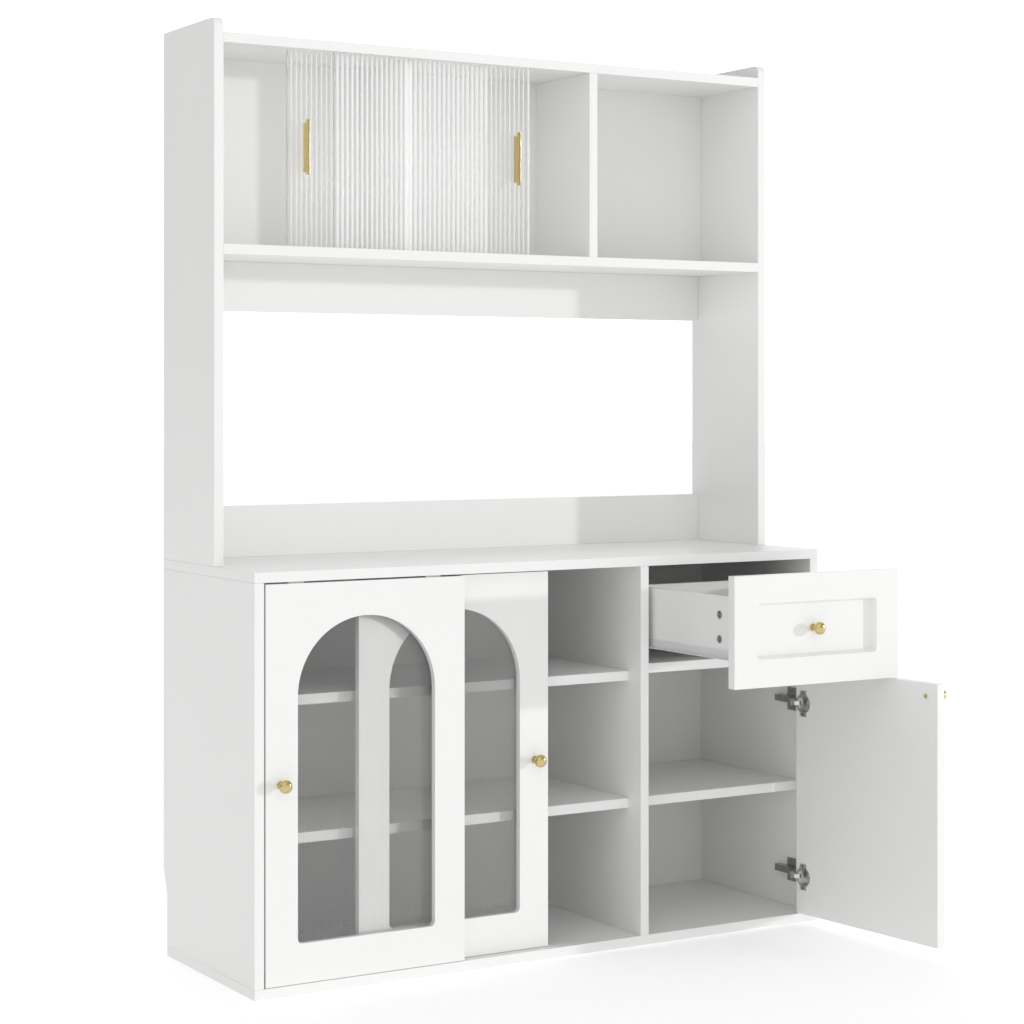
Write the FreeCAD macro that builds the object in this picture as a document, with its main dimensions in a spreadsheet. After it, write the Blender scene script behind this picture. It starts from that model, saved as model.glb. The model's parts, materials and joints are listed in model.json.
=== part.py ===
import FreeCAD, Part
import os
import re
from collections import defaultdict

import Sketcher

doc = FreeCAD.newDocument("kitchen_hutch")

# Driving sizes in millimetres, angles in degrees
SIZES = {
    # Base carcass
    "base_width": 1200,
    "base_depth": 395,
    "base_height": 722,
    "board_thickness": 18,
    "divider_place": 194,
    "back_thickness": 5,
    "back_inset": 29,
    "back_groove_depth": 6,
    "skirting_depth": 16,
    "skirting_height": 114,
    "skirting_slope": 45,
    # Shelves and their pins
    "shelf_setback": 39.5,
    "upper_shelf_share": 0.71137,
    "lower_shelf_share": 0.364431,
    "shelf_end_gap": 0.5,
    "drawer_board_drop": 184,
    "drawer_board_gap": 1.5,
    "pin_diameter": 5,
    "pin_depth": 9,
    "pin_reach": 7,
    "pin_inset": 45,
    # Joint dowels
    "dowel_diameter": 8,
    "dowel_length": 30,
    "dowel_face_depth": 10,
    "dowel_inset": 60,
    "hutch_dowel_inset": 90,
    "rail_dowel_inset": 25,
    # Clearances
    "fit_clearance": 0.1,
    "running_clearance": 0.05,
    "seat_gap": 0.3,
    "cut_overrun": 2,
    # Hutch carcass
    "hutch_depth": 228,
    "hutch_height": 961,
    "hutch_top_drop": 25,
    "hutch_corner_radius": 15,
    "appliance_height": 547,
    "hutch_divider_place": 189,
    "partition_place": -194,
    "partition_setback": 40.5,
    "rail_inset": 4.5,
    "upper_rail_height": 92,
    "lower_rail_height": 95,
    # Sliding glass panes of the hutch
    "pane_overlap": 66,
    "pane_thickness": 5,
    "pane_side_gap": 0.5,
    "pane_end_gap": 2,
    "pane_setback": 16,
    "pane_spacing": 15,
    "pane_groove_low": 5,
    "pane_groove_high": 10,
    "pane_top_play": 5.5,
    "pane_flute_pitch": 10,
    "pane_flute_depth": 0.5,
    "left_pane_slid_share": 0.3277,
    "right_pane_slid_share": 0.3034,
    # Bar pulls on the panes
    "pull_length": 100,
    "pull_bar_width": 4.5,
    "pull_bar_thickness": 7,
    "pull_web_length": 88,
    "pull_web_width": 3.5,
    "pull_web_depth": 12.5,
    "pull_edge_inset": 32.5,
    "pull_height_share": 0.507,
    # Sliding doors of the base
    "door_gap": 3,
    "door_low_gap": 1,
    "sliding_door_width": 387,
    "sliding_door_thickness": 16,
    "sliding_door_spacing": 18,
    "right_door_slid": 188.5,
    "window_margin": 60,
    "window_sill": 68,
    "window_corner_radius": 9,
    "rebate_width": 8,
    "rebate_depth": 4,
    "window_glass_thickness": 3,
    "window_glass_gap": 0.4,
    "window_flute_pitch": 5.5,
    "window_flute_depth": 0.25,
    "tab_thickness": 1,
    "tab_width": 14,
    "tab_land": 10,
    "tab_lap": 5,
    "tab_peg_diameter": 4,
    "tab_peg_length": 6,
    "tab_end_inset": 70,
    "groove_width": 4,
    "groove_depth": 7,
    "guide_length": 30,
    "guide_inset": 45,
    "guide_block_width": 9,
    "guide_block_depth": 12,
    "guide_fin": 3.2,
    "guide_top_play": 2.5,
    # Knobs and their screws
    "knob_base_diameter": 14,
    "knob_base_thickness": 2,
    "knob_stem_diameter": 10,
    "knob_neck": 12,
    "knob_flare": 5,
    "knob_head_diameter": 23,
    "knob_projection": 27,
    "knob_round": 7,
    "knob_edge_inset": 28,
    "cupboard_knob_drop": 24,
    "knob_screw_diameter": 4,
    "knob_screw_hole": 11,
    "knob_screw_bite": 9,
    "knob_screw_head": 8.5,
    "knob_screw_head_height": 2.4,
    # Drawer
    "front_thickness": 18,
    "drawer_front_height": 200,
    "drawer_out": 263.5,
    "recess_margin": 50,
    "recess_depth": 14,
    "recess_slope": 5,
    "recess_corner_radius": 8,
    "drawer_box_rise": 51,
    "drawer_side_height": 110,
    "drawer_side_thickness": 12,
    "drawer_length": 330,
    "drawer_bottom_rise": 10,
    "drawer_bottom_thickness": 4,
    "drawer_groove_depth": 5,
    "cam_diameter": 15,
    "cam_depth": 9.5,
    "cam_setback": 40,
    "cam_spacing": 44,
    "cam_bolt_diameter": 6,
    "cam_bolt_bite": 10,
    # Drawer runners
    "runner_space": 12.5,
    "runner_steel": 1.2,
    "runner_web_height": 16,
    "runner_flange_gap": 3,
    "runner_under": 9,
    "runner_front_gap": 3,
    "runner_back_gap": 10,
    "channel_width": 10,
    "channel_head_room": 9,
    "roller_diameter": 14,
    "roller_end_gap": 0.5,
    "roller_inset": 10,
    "roller_axle_diameter": 4,
    "runner_hole_diameter": 5,
    "runner_hole_spacing": 105,
    # Concealed hinges of the cupboard door
    "door_swing": 95,
    "swing_axis_inset": 10.5,
    "swing_axis_lead": 1.4,
    "hinge_inset": 72,
    "cup_diameter": 35,
    "cup_depth": 13,
    "cup_wall": 0.8,
    "cup_edge": 3,
    "cup_rim_diameter": 38,
    "cup_flange_height": 50,
    "cup_flange_width": 17,
    "cup_flange_thickness": 1.2,
    "cup_screw_offset": 21,
    "cup_pin_diameter": 2,
    "cup_pin_offset": 13.3,
    "cup_pin_sink": 1.3,
    "hinge_screw_diameter": 3.5,
    "hinge_screw_length": 11,
    "hinge_screw_head": 6.5,
    "hinge_screw_head_height": 1.5,
    "plate_setback": 41.5,
    "plate_width": 26.5,
    "plate_height": 44.5,
    "plate_thickness": 3,
    "plate_foot_height": 11,
    "plate_screw_offset": 16,
    "arm_rear": 94,
    "arm_rise": 14,
    "arm_neck": 50,
    "arm_height": 12.6,
    "arm_slot_depth": 14,
    "link_pivot_inset": 36,
    "link_pivot_setback": 11.5,
    "link_rest_angle": -57,
    "link_length": 19.5,
    "link_bulge": 6.3,
    "link_thickness": 2,
    "link_height": 8,
    "link_side_gap": 0.3,
    "link_eye_diameter": 4,
    "hinge_pin_diameter": 2,
}

sheet = doc.addObject("Spreadsheet::Sheet", "Sizes")
for row, (word, number) in enumerate(SIZES.items(), start=1):
    sheet.set(f"A{row}", word)
    sheet.set(f"B{row}", str(number))
    sheet.setAlias(f"B{row}", word)
doc.recompute()

# Planes of the carcass, as expressions of the sizes
LEFT = "(-base_width / 2)"
RIGHT = "(base_width / 2)"
FRONT = "(-base_depth / 2)"
BACK = "(base_depth / 2)"
BAY_LEFT = f"({LEFT} + board_thickness)"
BAY_RIGHT = f"({RIGHT} - board_thickness)"
DIVIDER_LEFT = "(divider_place - board_thickness / 2)"
DIVIDER_RIGHT = "(divider_place + board_thickness / 2)"
CEILING = "(base_height - board_thickness)"
UPPER_SHELF_TOP = f"(board_thickness + ({CEILING} - board_thickness) * upper_shelf_share)"
LOWER_SHELF_TOP = f"(board_thickness + ({CEILING} - board_thickness) * lower_shelf_share)"
DRAWER_BOARD_TOP = f"({CEILING} - drawer_board_drop)"
PANEL_BACK = f"({BACK} - back_inset)"
PANEL_FRONT = f"({PANEL_BACK} - back_thickness)"
HUTCH_FRONT = f"({BACK} - hutch_depth)"
HUTCH_TOP = "(base_height + hutch_height)"
ROOF_TOP = f"({HUTCH_TOP} - hutch_top_drop)"
ROOF_LOW = f"({ROOF_TOP} - board_thickness)"
SHELF_LOW = "(base_height + appliance_height)"
SHELF_TOP = f"({SHELF_LOW} + board_thickness)"
HUTCH_DIVIDER_LEFT = "(hutch_divider_place - board_thickness / 2)"
HUTCH_DIVIDER_RIGHT = "(hutch_divider_place + board_thickness / 2)"
DOOR_LOW = "(board_thickness + door_low_gap)"
DOOR_HIGH = f"({CEILING} - door_gap)"
DRAWER_LOW = f"({DOOR_HIGH} - drawer_front_height)"
CUPBOARD_HIGH = f"({DRAWER_LOW} - door_gap)"
FRONT_WIDTH = f"({BAY_RIGHT} - {DIVIDER_RIGHT} - 2 * door_gap)"

nodes = {}
holes = defaultdict(list)
TURNS = {
    "x": FreeCAD.Rotation(FreeCAD.Vector(0, 1, 0), 90),
    "y": FreeCAD.Rotation(FreeCAD.Vector(1, 0, 0), -90),
    "z": FreeCAD.Rotation(),
}


def bound(text):
    """Point each size's name in an expression at its cell of the sheet."""
    return re.sub(r"[a-z_]+", lambda word: "Sizes." + word[0] if word[0] in SIZES else word[0], text)


def value(text):
    """The number that an expression of the sizes gives now."""
    return float(sheet.evalExpression(bound(text)))


def bind(thing, **properties):
    """Tie properties of an object to expressions of the sizes."""
    for name, text in properties.items():
        thing.setExpression(name, bound(text))


def place(thing, x, y, z):
    """Tie an object's position to expressions of the sizes."""
    for axis, text in zip("xyz", (x, y, z)):
        thing.setExpression(f"Placement.Base.{axis}", bound(text))
    return thing


def keep(name, thing):
    """Name a finished sub-part, which names its file."""
    thing.Label = name
    nodes[name] = thing
    return thing


def box(name, x, y, z):
    """A block between pairs of low and high expressions."""
    block = doc.addObject("Part::Box", name)
    bind(block, Length=f"({x[1]}) - ({x[0]})", Width=f"({y[1]}) - ({y[0]})", Height=f"({z[1]}) - ({z[0]})")
    return place(block, x[0], y[0], z[0])


def rod(name, axis, start, diameter, length):
    """A cylinder from its start along +x, +y or +z."""
    cylinder = doc.addObject("Part::Cylinder", name)
    cylinder.Placement = FreeCAD.Placement(FreeCAD.Vector(), TURNS[axis])
    bind(cylinder, Radius=f"({diameter}) / 2", Height=length)
    return place(cylinder, *start)


def joined(name, pieces):
    """One solid of several overlapping or touching pieces."""
    fuse = doc.addObject("Part::MultiFuse", name)
    fuse.Shapes = pieces
    fuse.Refine = True
    return fuse


def group(name, pieces):
    """Several separate solids under one name."""
    compound = doc.addObject("Part::Compound", name)
    compound.Links = pieces
    return compound


def cut(name, base, tools):
    """The base less every tool."""
    result = doc.addObject("Part::Cut", name)
    result.Base = base
    result.Tool = tools[0] if len(tools) == 1 else group(f"{name}_tools", tools)
    return result


def shifted(name, pieces, x="0", y="0"):
    """A sub-part modelled shut, then slid to where it stands."""
    return keep(name, place(group(name, pieces), x, y, "0"))


def swung(name, pieces):
    """A sub-part of the cupboard door modelled shut, then swung open."""
    axis_x, axis_y = SWING_AXIS
    turned = group(name, pieces)
    upright = FreeCAD.Vector(0, 0, 1)
    turned.Placement = FreeCAD.Placement(FreeCAD.Vector(), FreeCAD.Rotation(upright, value("door_swing")))
    turned.setExpression("Placement.Rotation.Angle", bound("door_swing"))
    place(
        turned,
        f"{axis_x} * (1 - cos(door_swing)) + {axis_y} * sin(door_swing)",
        f"{axis_y} * (1 - cos(door_swing)) - {axis_x} * sin(door_swing)",
        "0",
    )
    return keep(name, turned)


def board(name, x, y, z, tools=()):
    """A panel with its joint holes and any grooves."""
    tools = holes[name] + list(tools)
    if not tools:
        return keep(name, box(name, x, y, z))
    return keep(name, cut(name, box(f"{name}_blank", x, y, z), tools))


def beside(wall, side, near, far):
    """The span between two distances from a wall, to its right or its left."""
    if side > 0:
        return f"{wall} + {near}", f"{wall} + {far}"
    return f"{wall} - ({far})", f"{wall} - ({near})"


def about(middle, width):
    """The span of a width about a middle."""
    return f"{middle} - ({width}) / 2", f"{middle} + ({width}) / 2"


def new_sketch(body, role, name, lift="0"):
    """A sketch on one of the body's own planes, lifted along its normal."""
    sketch = body.newObject("Sketcher::SketchObject", name)
    plane = next(feature for feature in body.Origin.OriginFeatures if feature.Role == role)
    sketch.AttachmentSupport = [(plane, "")]
    sketch.MapMode = "FlatFace"
    sketch.setExpression("AttachmentOffset.Base.z", bound(lift))
    return sketch


def pin_point(sketch, curve, end, axis, text):
    """Hold one coordinate of a point of the sketch at an expression."""
    number = value(text)
    kind = {"u": "DistanceX", "v": "DistanceY"}[axis]
    if number == 0:
        sketch.addConstraint(Sketcher.Constraint("PointOnObject", curve, end, {"u": -2, "v": -1}[axis]))
        return
    ends = (-1, 1, curve, end) if number > 0 else (curve, end, -1, 1)
    index = sketch.addConstraint(Sketcher.Constraint(kind, *ends, abs(number)))
    sketch.setExpression(f"Constraints[{index}]", bound(text if number > 0 else f"-({text})"))


def outline(sketch, corners, centres=None):
    """Close an outline through corners, with arcs about a centre after the corners that have one."""
    centres = centres or {}
    points = [FreeCAD.Vector(value(u), value(v), 0) for u, v in corners]
    for index, start in enumerate(points):
        end = points[(index + 1) % len(points)]
        if index not in centres:
            sketch.addGeometry(Part.LineSegment(start, end))
            continue
        centre = FreeCAD.Vector(*(value(text) for text in centres[index]), 0)
        circle = Part.Circle(centre, FreeCAD.Vector(0, 0, 1), (start - centre).Length)
        sketch.addGeometry(Part.ArcOfCircle(circle, circle.parameter(start), circle.parameter(end)))
    for index, (u, v) in enumerate(corners):
        sketch.addConstraint(Sketcher.Constraint("Coincident", index, 2, (index + 1) % len(points), 1))
        pin_point(sketch, index, 1, "u", u)
        pin_point(sketch, index, 1, "v", v)
    for index, (u, v) in centres.items():
        level = corners[index][1] == corners[(index + 1) % len(points)][1]
        pin_point(sketch, index, 3, "v" if level else "u", v if level else u)
    return sketch


def feature(body, kind, name, profile, **properties):
    """A feature of a body on a sketch; plain values are set and texts are bound."""
    made = body.newObject(f"PartDesign::{kind}", name)
    made.Profile = profile
    for key, setting in properties.items():
        if isinstance(setting, str) and key == "Length":
            bind(made, Length=setting)
        else:
            setattr(made, key, setting)
    return made


def dowel(axis, plane, face_is_low, at, boards):
    """A dowel across a joint plane, shallow in the board whose face it enters, and its holes."""
    below = "dowel_face_depth" if face_is_low else "(dowel_length - dowel_face_depth)"
    start = {**at, axis: f"{plane} - {below}"}
    room = {**at, axis: f"{plane} - {below} - fit_clearance"}
    hole = rod(
        "dowel_hole",
        axis,
        [room[key] for key in "xyz"],
        "dowel_diameter + 2 * fit_clearance",
        "dowel_length + 2 * fit_clearance",
    )
    for name in boards:
        holes[name].append(hole)
    return rod("dowel", axis, [start[key] for key in "xyz"], "dowel_diameter", "dowel_length")


def shelf_pin(wall, side, y, shelf_top, walls):
    """A shelf pin that stands out of a wall under the shelf, and its hole."""
    middle = f"{shelf_top} - board_thickness - pin_diameter / 2 - fit_clearance"
    low = f"{wall} - pin_depth" if side > 0 else f"{wall} - pin_reach"
    spare = "fit_clearance" if side > 0 else "cut_overrun"
    depth = "pin_depth + fit_clearance + cut_overrun"
    start = f"{wall} - pin_depth - {spare}" if side > 0 else f"{wall} - {spare}"
    hole = rod("pin_hole", "x", (start, y, middle), "pin_diameter + 2 * fit_clearance", depth)
    for name in walls:
        holes[name].append(hole)
    return rod("shelf_pin", "x", (low, y, middle), "pin_diameter", "pin_depth + pin_reach")


def screw(name, axis, seat, sense, sizes):
    """A screw whose head stands on a seat, with the shank running the way of sense along its axis."""
    shank, length, head, head_height = sizes
    spot = dict(zip("xyz", seat))
    shank_low = spot[axis] if sense > 0 else f"{spot[axis]} - ({length})"
    head_low = f"{spot[axis]} - {head_height}" if sense > 0 else spot[axis]
    shank_rod = rod(f"{name}_shank", axis, [{**spot, axis: shank_low}[key] for key in "xyz"], shank, length)
    head_rod = rod(f"{name}_head", axis, [{**spot, axis: head_low}[key] for key in "xyz"], head, head_height)
    return joined(name, [shank_rod, head_rod])


def knob(name, x, face, z):
    """A turned mushroom knob that points forwards from a face."""
    body = doc.addObject("PartDesign::Body", name)
    profile = new_sketch(body, "XY_Plane", f"{name}_profile")
    bore = "knob_screw_diameter / 2 + fit_clearance"
    head = "knob_head_diameter / 2"
    corners = [
        (bore, "0"),
        ("knob_base_diameter / 2", "0"),
        ("knob_base_diameter / 2", "knob_base_thickness"),
        ("knob_stem_diameter / 2", "knob_base_thickness"),
        ("knob_stem_diameter / 2", "knob_neck"),
        (head, "knob_neck + knob_flare"),
        (head, "knob_projection - knob_round"),
        (f"{head} - knob_round", "knob_projection"),
        ("0", "knob_projection"),
        ("0", "knob_screw_hole"),
        (bore, "knob_screw_hole"),
    ]
    outline(profile, corners, {6: (f"{head} - knob_round", "knob_projection - knob_round")})
    turn = feature(body, "Revolution", f"{name}_turn", profile)
    turn.ReferenceAxis = (profile, ["V_Axis"])
    turn.Angle = 360
    body.Placement = FreeCAD.Placement(FreeCAD.Vector(), FreeCAD.Rotation(FreeCAD.Vector(0, 0, 1), 180))
    return place(body, x, face, z)


def knob_screw(name, x, back, z, wall):
    """The screw that holds a knob, from the back of its panel through a wall of some thickness."""
    sizes = ("knob_screw_diameter", f"{wall} + knob_screw_bite", "knob_screw_head", "knob_screw_head_height")
    return screw(name, "y", (x, back, z), -1, sizes)


def knob_hole(x, front, z):
    """The clearance hole of a knob's screw through a front."""
    start = (x, f"{front} - cut_overrun", z)
    size = "knob_screw_diameter + 2 * fit_clearance"
    return rod("knob_hole", "y", start, size, "front_thickness + 2 * cut_overrun")


def fluted_slab(width, depth, height, pitch, flute):
    """A glass slab with a flat front and a row of round flutes down its back."""
    count = max(1, round(width / pitch))
    step = width / count
    valley = depth - flute
    edges = [
        Part.LineSegment(FreeCAD.Vector(0, valley, 0), FreeCAD.Vector(0, 0, 0)),
        Part.LineSegment(FreeCAD.Vector(0, 0, 0), FreeCAD.Vector(width, 0, 0)),
        Part.LineSegment(FreeCAD.Vector(width, 0, 0), FreeCAD.Vector(width, valley, 0)),
    ]
    for index in reversed(range(count)):
        crest = FreeCAD.Vector((index + 0.5) * step, depth, 0)
        ends = [FreeCAD.Vector((index + end) * step, valley, 0) for end in (1, 0)]
        edges.append(Part.Arc(ends[0], crest, ends[1]))
    wire = Part.Wire([edge.toShape() for edge in edges])
    return Part.Face(wire).extrude(FreeCAD.Vector(0, 0, height))


# Back panels let into grooves round the carcass and the hutch
def groove_for_back(name, low, high):
    return box(
        name,
        (f"{BAY_LEFT} - back_groove_depth", f"{BAY_RIGHT} + back_groove_depth"),
        (f"{PANEL_FRONT} - fit_clearance", f"{PANEL_BACK} + fit_clearance"),
        (f"{low} - back_groove_depth", f"{high} + back_groove_depth"),
    )


def back_panel(name, low, high):
    reach = "(back_groove_depth - fit_clearance)"
    return board(
        name,
        (f"{BAY_LEFT} - {reach}", f"{BAY_RIGHT} + {reach}"),
        (PANEL_FRONT, PANEL_BACK),
        (f"{low} - {reach}", f"{high} + {reach}"),
    )


base_groove = groove_for_back("base_back_groove", "board_thickness", CEILING)
hutch_groove = groove_for_back("hutch_back_groove", SHELF_TOP, ROOF_LOW)
back_panel("base_back_panel", "board_thickness", CEILING)
back_panel("hutch_back_panel", SHELF_TOP, ROOF_LOW)

# Dowels of the base: sides and divider between the bottom board and the worktop
dowels = []
uprights = {
    "base_left_side": (f"{LEFT} + board_thickness / 2", f"{BACK} - dowel_inset"),
    "base_right_side": (f"{RIGHT} - board_thickness / 2", f"{BACK} - dowel_inset"),
    "base_divider": ("divider_place", f"{PANEL_FRONT} - dowel_inset"),
}
for name, (x, rear) in uprights.items():
    for y in (f"{FRONT} + dowel_inset", rear):
        dowels.append(dowel("z", "board_thickness", True, {"x": x, "y": y}, (name, "base_bottom_board")))
        dowels.append(dowel("z", CEILING, False, {"x": x, "y": y}, (name, "countertop")))

# Dowels of the hutch: sides on the worktop, boards and rails between the sides, uprights between the boards
RAIL_MIDDLE = f"{BACK} - rail_inset - board_thickness / 2"
UPPER_RAIL_LOW = f"({SHELF_LOW} - upper_rail_height)"
LOWER_RAIL_TOP = "(base_height + lower_rail_height)"
for side, x in (("left", f"{LEFT} + board_thickness / 2"), ("right", f"{RIGHT} - board_thickness / 2")):
    name = f"hutch_{side}_side"
    for y in (f"{HUTCH_FRONT} + hutch_dowel_inset", f"{BACK} - hutch_dowel_inset"):
        dowels.append(dowel("z", "base_height", True, {"x": x, "y": y}, (name, "countertop")))
    plane, face_is_low = (BAY_LEFT, True) if side == "left" else (BAY_RIGHT, False)
    for plank, low in (("hutch_top_board", ROOF_LOW), ("hutch_bottom_board", SHELF_LOW)):
        for y in (f"{HUTCH_FRONT} + dowel_inset", f"{BACK} - dowel_inset"):
            spot = {"y": y, "z": f"{low} + board_thickness / 2"}
            dowels.append(dowel("x", plane, face_is_low, spot, (name, plank)))
    for rail, ends in (
        ("hutch_upper_rail", (f"{UPPER_RAIL_LOW} + rail_dowel_inset", f"{SHELF_LOW} - rail_dowel_inset")),
        ("hutch_lower_rail", ("base_height + rail_dowel_inset", f"{LOWER_RAIL_TOP} - rail_dowel_inset")),
    ):
        for z in ends:
            dowels.append(dowel("x", plane, face_is_low, {"y": RAIL_MIDDLE, "z": z}, (name, rail)))
hutch_uprights = {
    "hutch_divider": ("hutch_divider_place", f"{HUTCH_FRONT} + dowel_inset"),
    "hutch_centre_partition": ("partition_place", f"{HUTCH_FRONT} + partition_setback + rail_dowel_inset"),
}
for name, (x, fore) in hutch_uprights.items():
    for y in (fore, f"{PANEL_FRONT} - rail_dowel_inset"):
        dowels.append(dowel("z", SHELF_TOP, True, {"x": x, "y": y}, (name, "hutch_bottom_board")))
        dowels.append(dowel("z", ROOF_LOW, False, {"x": x, "y": y}, (name, "hutch_top_board")))

# Dowels of the board under the drawer
DRAWER_BOARD_FRONT = f"({FRONT} + front_thickness + drawer_board_gap)"
drawer_board_ends = ((DIVIDER_RIGHT, True, "base_divider"), (BAY_RIGHT, False, "base_right_side"))
for plane, face_is_low, name in drawer_board_ends:
    for y in (f"{DRAWER_BOARD_FRONT} + dowel_inset", f"{PANEL_FRONT} - rail_dowel_inset"):
        spot = {"y": y, "z": f"{DRAWER_BOARD_TOP} - board_thickness / 2"}
        dowels.append(dowel("x", plane, face_is_low, spot, (name, "drawer_support_board")))
keep("joint_dowels", group("joint_dowels", dowels))

# Shelf pins at the four corners of each shelf
SHELF_FRONT = f"({FRONT} + shelf_setback)"
shelves = {
    "left_bay_upper_shelf": (BAY_LEFT, DIVIDER_LEFT, UPPER_SHELF_TOP, "base_left_side", "base_divider"),
    "left_bay_lower_shelf": (BAY_LEFT, DIVIDER_LEFT, LOWER_SHELF_TOP, "base_left_side", "base_divider"),
    "right_bay_shelf": (DIVIDER_RIGHT, BAY_RIGHT, LOWER_SHELF_TOP, "base_divider", "base_right_side"),
}
pins = []
for name, (low, high, top, low_wall, high_wall) in shelves.items():
    # The two bays' pins stand apart in depth, so that their holes in the divider never meet
    offset = "pin_diameter * 2" if name == "right_bay_shelf" else "0"
    for y in (f"{SHELF_FRONT} + pin_inset + {offset}", f"{PANEL_FRONT} - pin_inset - {offset}"):
        pins.append(shelf_pin(low, 1, y, top, [low_wall]))
        pins.append(shelf_pin(high, -1, y, top, [high_wall]))
    board(
        name,
        (f"{low} + shelf_end_gap", f"{high} - shelf_end_gap"),
        (SHELF_FRONT, f"{PANEL_FRONT} - shelf_end_gap"),
        (f"{top} - board_thickness", top),
    )
keep("shelf_pins", group("shelf_pins", pins))
board(
    "drawer_support_board",
    (DIVIDER_RIGHT, BAY_RIGHT),
    (DRAWER_BOARD_FRONT, PANEL_FRONT),
    (f"{DRAWER_BOARD_TOP} - board_thickness", DRAWER_BOARD_TOP),
)

# Screws of the cabinet's runners and hinge plates sit in holes of the walls
HINGE_HEIGHTS = (f"({DOOR_LOW} + hinge_inset)", f"({CUPBOARD_HIGH} - hinge_inset)")
PLATE_FACE = f"({BAY_RIGHT} - plate_thickness)"
PLATE_FRONT = f"({FRONT} + plate_setback)"
HINGE_SCREW = ("hinge_screw_diameter", "hinge_screw_length", "hinge_screw_head", "hinge_screw_head_height")
plate_screws = []
plate_holes = defaultdict(list)
for height in HINGE_HEIGHTS:
    for offset in ("plate_screw_offset", "-plate_screw_offset"):
        spot = (PLATE_FACE, f"{PLATE_FRONT} + plate_width / 2", f"{height} + {offset}")
        plate_screws.append(screw("hinge_plate_screw", "x", spot, 1, HINGE_SCREW))
        hole = rod(
            "plate_screw_hole",
            "x",
            (f"{PLATE_FACE} - cut_overrun", *spot[1:]),
            "hinge_screw_diameter + 2 * fit_clearance",
            "hinge_screw_length + cut_overrun + fit_clearance",
        )
        plate_holes[height].append(hole)
        holes["base_right_side"].append(hole)
keep("hinge_plate_screws", group("hinge_plate_screws", plate_screws))


# Sides of the base, with a step at the back for a skirting board
def base_side(name, x):
    body = doc.addObject("PartDesign::Body", f"{name}_body")
    profile = new_sketch(body, "YZ_Plane", f"{name}_profile")
    corners = [
        (FRONT, "board_thickness"),
        (f"{BACK} - skirting_depth", "board_thickness"),
        (f"{BACK} - skirting_depth", "skirting_height"),
        (BACK, "skirting_height + skirting_slope"),
        (BACK, CEILING),
        (FRONT, CEILING),
    ]
    feature(body, "Pad", f"{name}_pad", outline(profile, corners), Length="board_thickness")
    place(body, x, "0", "0")
    keep(name, cut(name, body, holes[name] + [base_groove]))


base_side("base_left_side", LEFT)
base_side("base_right_side", BAY_RIGHT)


# Sides of the hutch, rounded at the top front corner
def hutch_side(name, x):
    body = doc.addObject("PartDesign::Body", f"{name}_body")
    profile = new_sketch(body, "YZ_Plane", f"{name}_profile")
    corners = [
        (HUTCH_FRONT, "base_height"),
        (BACK, "base_height"),
        (BACK, HUTCH_TOP),
        (f"{HUTCH_FRONT} + hutch_corner_radius", HUTCH_TOP),
        (HUTCH_FRONT, f"{HUTCH_TOP} - hutch_corner_radius"),
    ]
    centre = (f"{HUTCH_FRONT} + hutch_corner_radius", f"{HUTCH_TOP} - hutch_corner_radius")
    feature(body, "Pad", f"{name}_pad", outline(profile, corners, {3: centre}), Length="board_thickness")
    place(body, x, "0", "0")
    keep(name, cut(name, body, holes[name] + [hutch_groove]))


hutch_side("hutch_left_side", LEFT)
hutch_side("hutch_right_side", BAY_RIGHT)

# Grooves of the sliding doors, under the worktop and in the bottom board
DOOR_MIDDLES = {
    "left": f"({FRONT} + sliding_door_thickness / 2)",
    "right": f"({FRONT} + sliding_door_spacing + sliding_door_thickness / 2)",
}
low_grooves = []
high_grooves = []
for side, middle in DOOR_MIDDLES.items():
    span = (BAY_LEFT, DIVIDER_LEFT)
    width = about(middle, "groove_width")
    low = ("board_thickness - groove_depth", "board_thickness + cut_overrun")
    high = (f"{CEILING} - cut_overrun", f"{CEILING} + groove_depth")
    low_grooves.append(box(f"{side}_door_low_groove", span, width, low))
    high_grooves.append(box(f"{side}_door_high_groove", span, width, high))

# Boards of the base
full_width = (LEFT, RIGHT)
board(
    "base_bottom_board",
    full_width,
    (FRONT, f"{BACK} - skirting_depth"),
    ("0", "board_thickness"),
    [*low_grooves, base_groove],
)
board("countertop", full_width, (FRONT, BACK), (CEILING, "base_height"), [*high_grooves, base_groove])
board(
    "base_divider",
    (DIVIDER_LEFT, DIVIDER_RIGHT),
    (FRONT, PANEL_FRONT),
    ("board_thickness", CEILING),
)

# Boards and rails of the hutch, with the grooves of the glass panes
PANE_MIDDLES = {
    "right": f"({HUTCH_FRONT} + pane_setback)",
    "left": f"({HUTCH_FRONT} + pane_setback + pane_spacing)",
}
pane_low = []
pane_high = []
for side, middle in PANE_MIDDLES.items():
    span = (BAY_LEFT, HUTCH_DIVIDER_LEFT)
    width = about(middle, "pane_thickness + 2 * pane_side_gap")
    low = (f"{SHELF_TOP} - pane_groove_low", f"{SHELF_TOP} + cut_overrun")
    high = (f"{ROOF_LOW} - cut_overrun", f"{ROOF_LOW} + pane_groove_high")
    pane_low.append(box(f"{side}_pane_low_groove", span, width, low))
    pane_high.append(box(f"{side}_pane_high_groove", span, width, high))
between_sides = (BAY_LEFT, BAY_RIGHT)
hutch_span = (HUTCH_FRONT, BACK)
board("hutch_top_board", between_sides, hutch_span, (ROOF_LOW, ROOF_TOP), [*pane_high, hutch_groove])
board("hutch_bottom_board", between_sides, hutch_span, (SHELF_LOW, SHELF_TOP), [*pane_low, hutch_groove])
board(
    "hutch_divider",
    (HUTCH_DIVIDER_LEFT, HUTCH_DIVIDER_RIGHT),
    (HUTCH_FRONT, PANEL_FRONT),
    (SHELF_TOP, ROOF_LOW),
)
board(
    "hutch_centre_partition",
    about("partition_place", "board_thickness"),
    (f"{HUTCH_FRONT} + partition_setback", PANEL_FRONT),
    (SHELF_TOP, ROOF_LOW),
)
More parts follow.
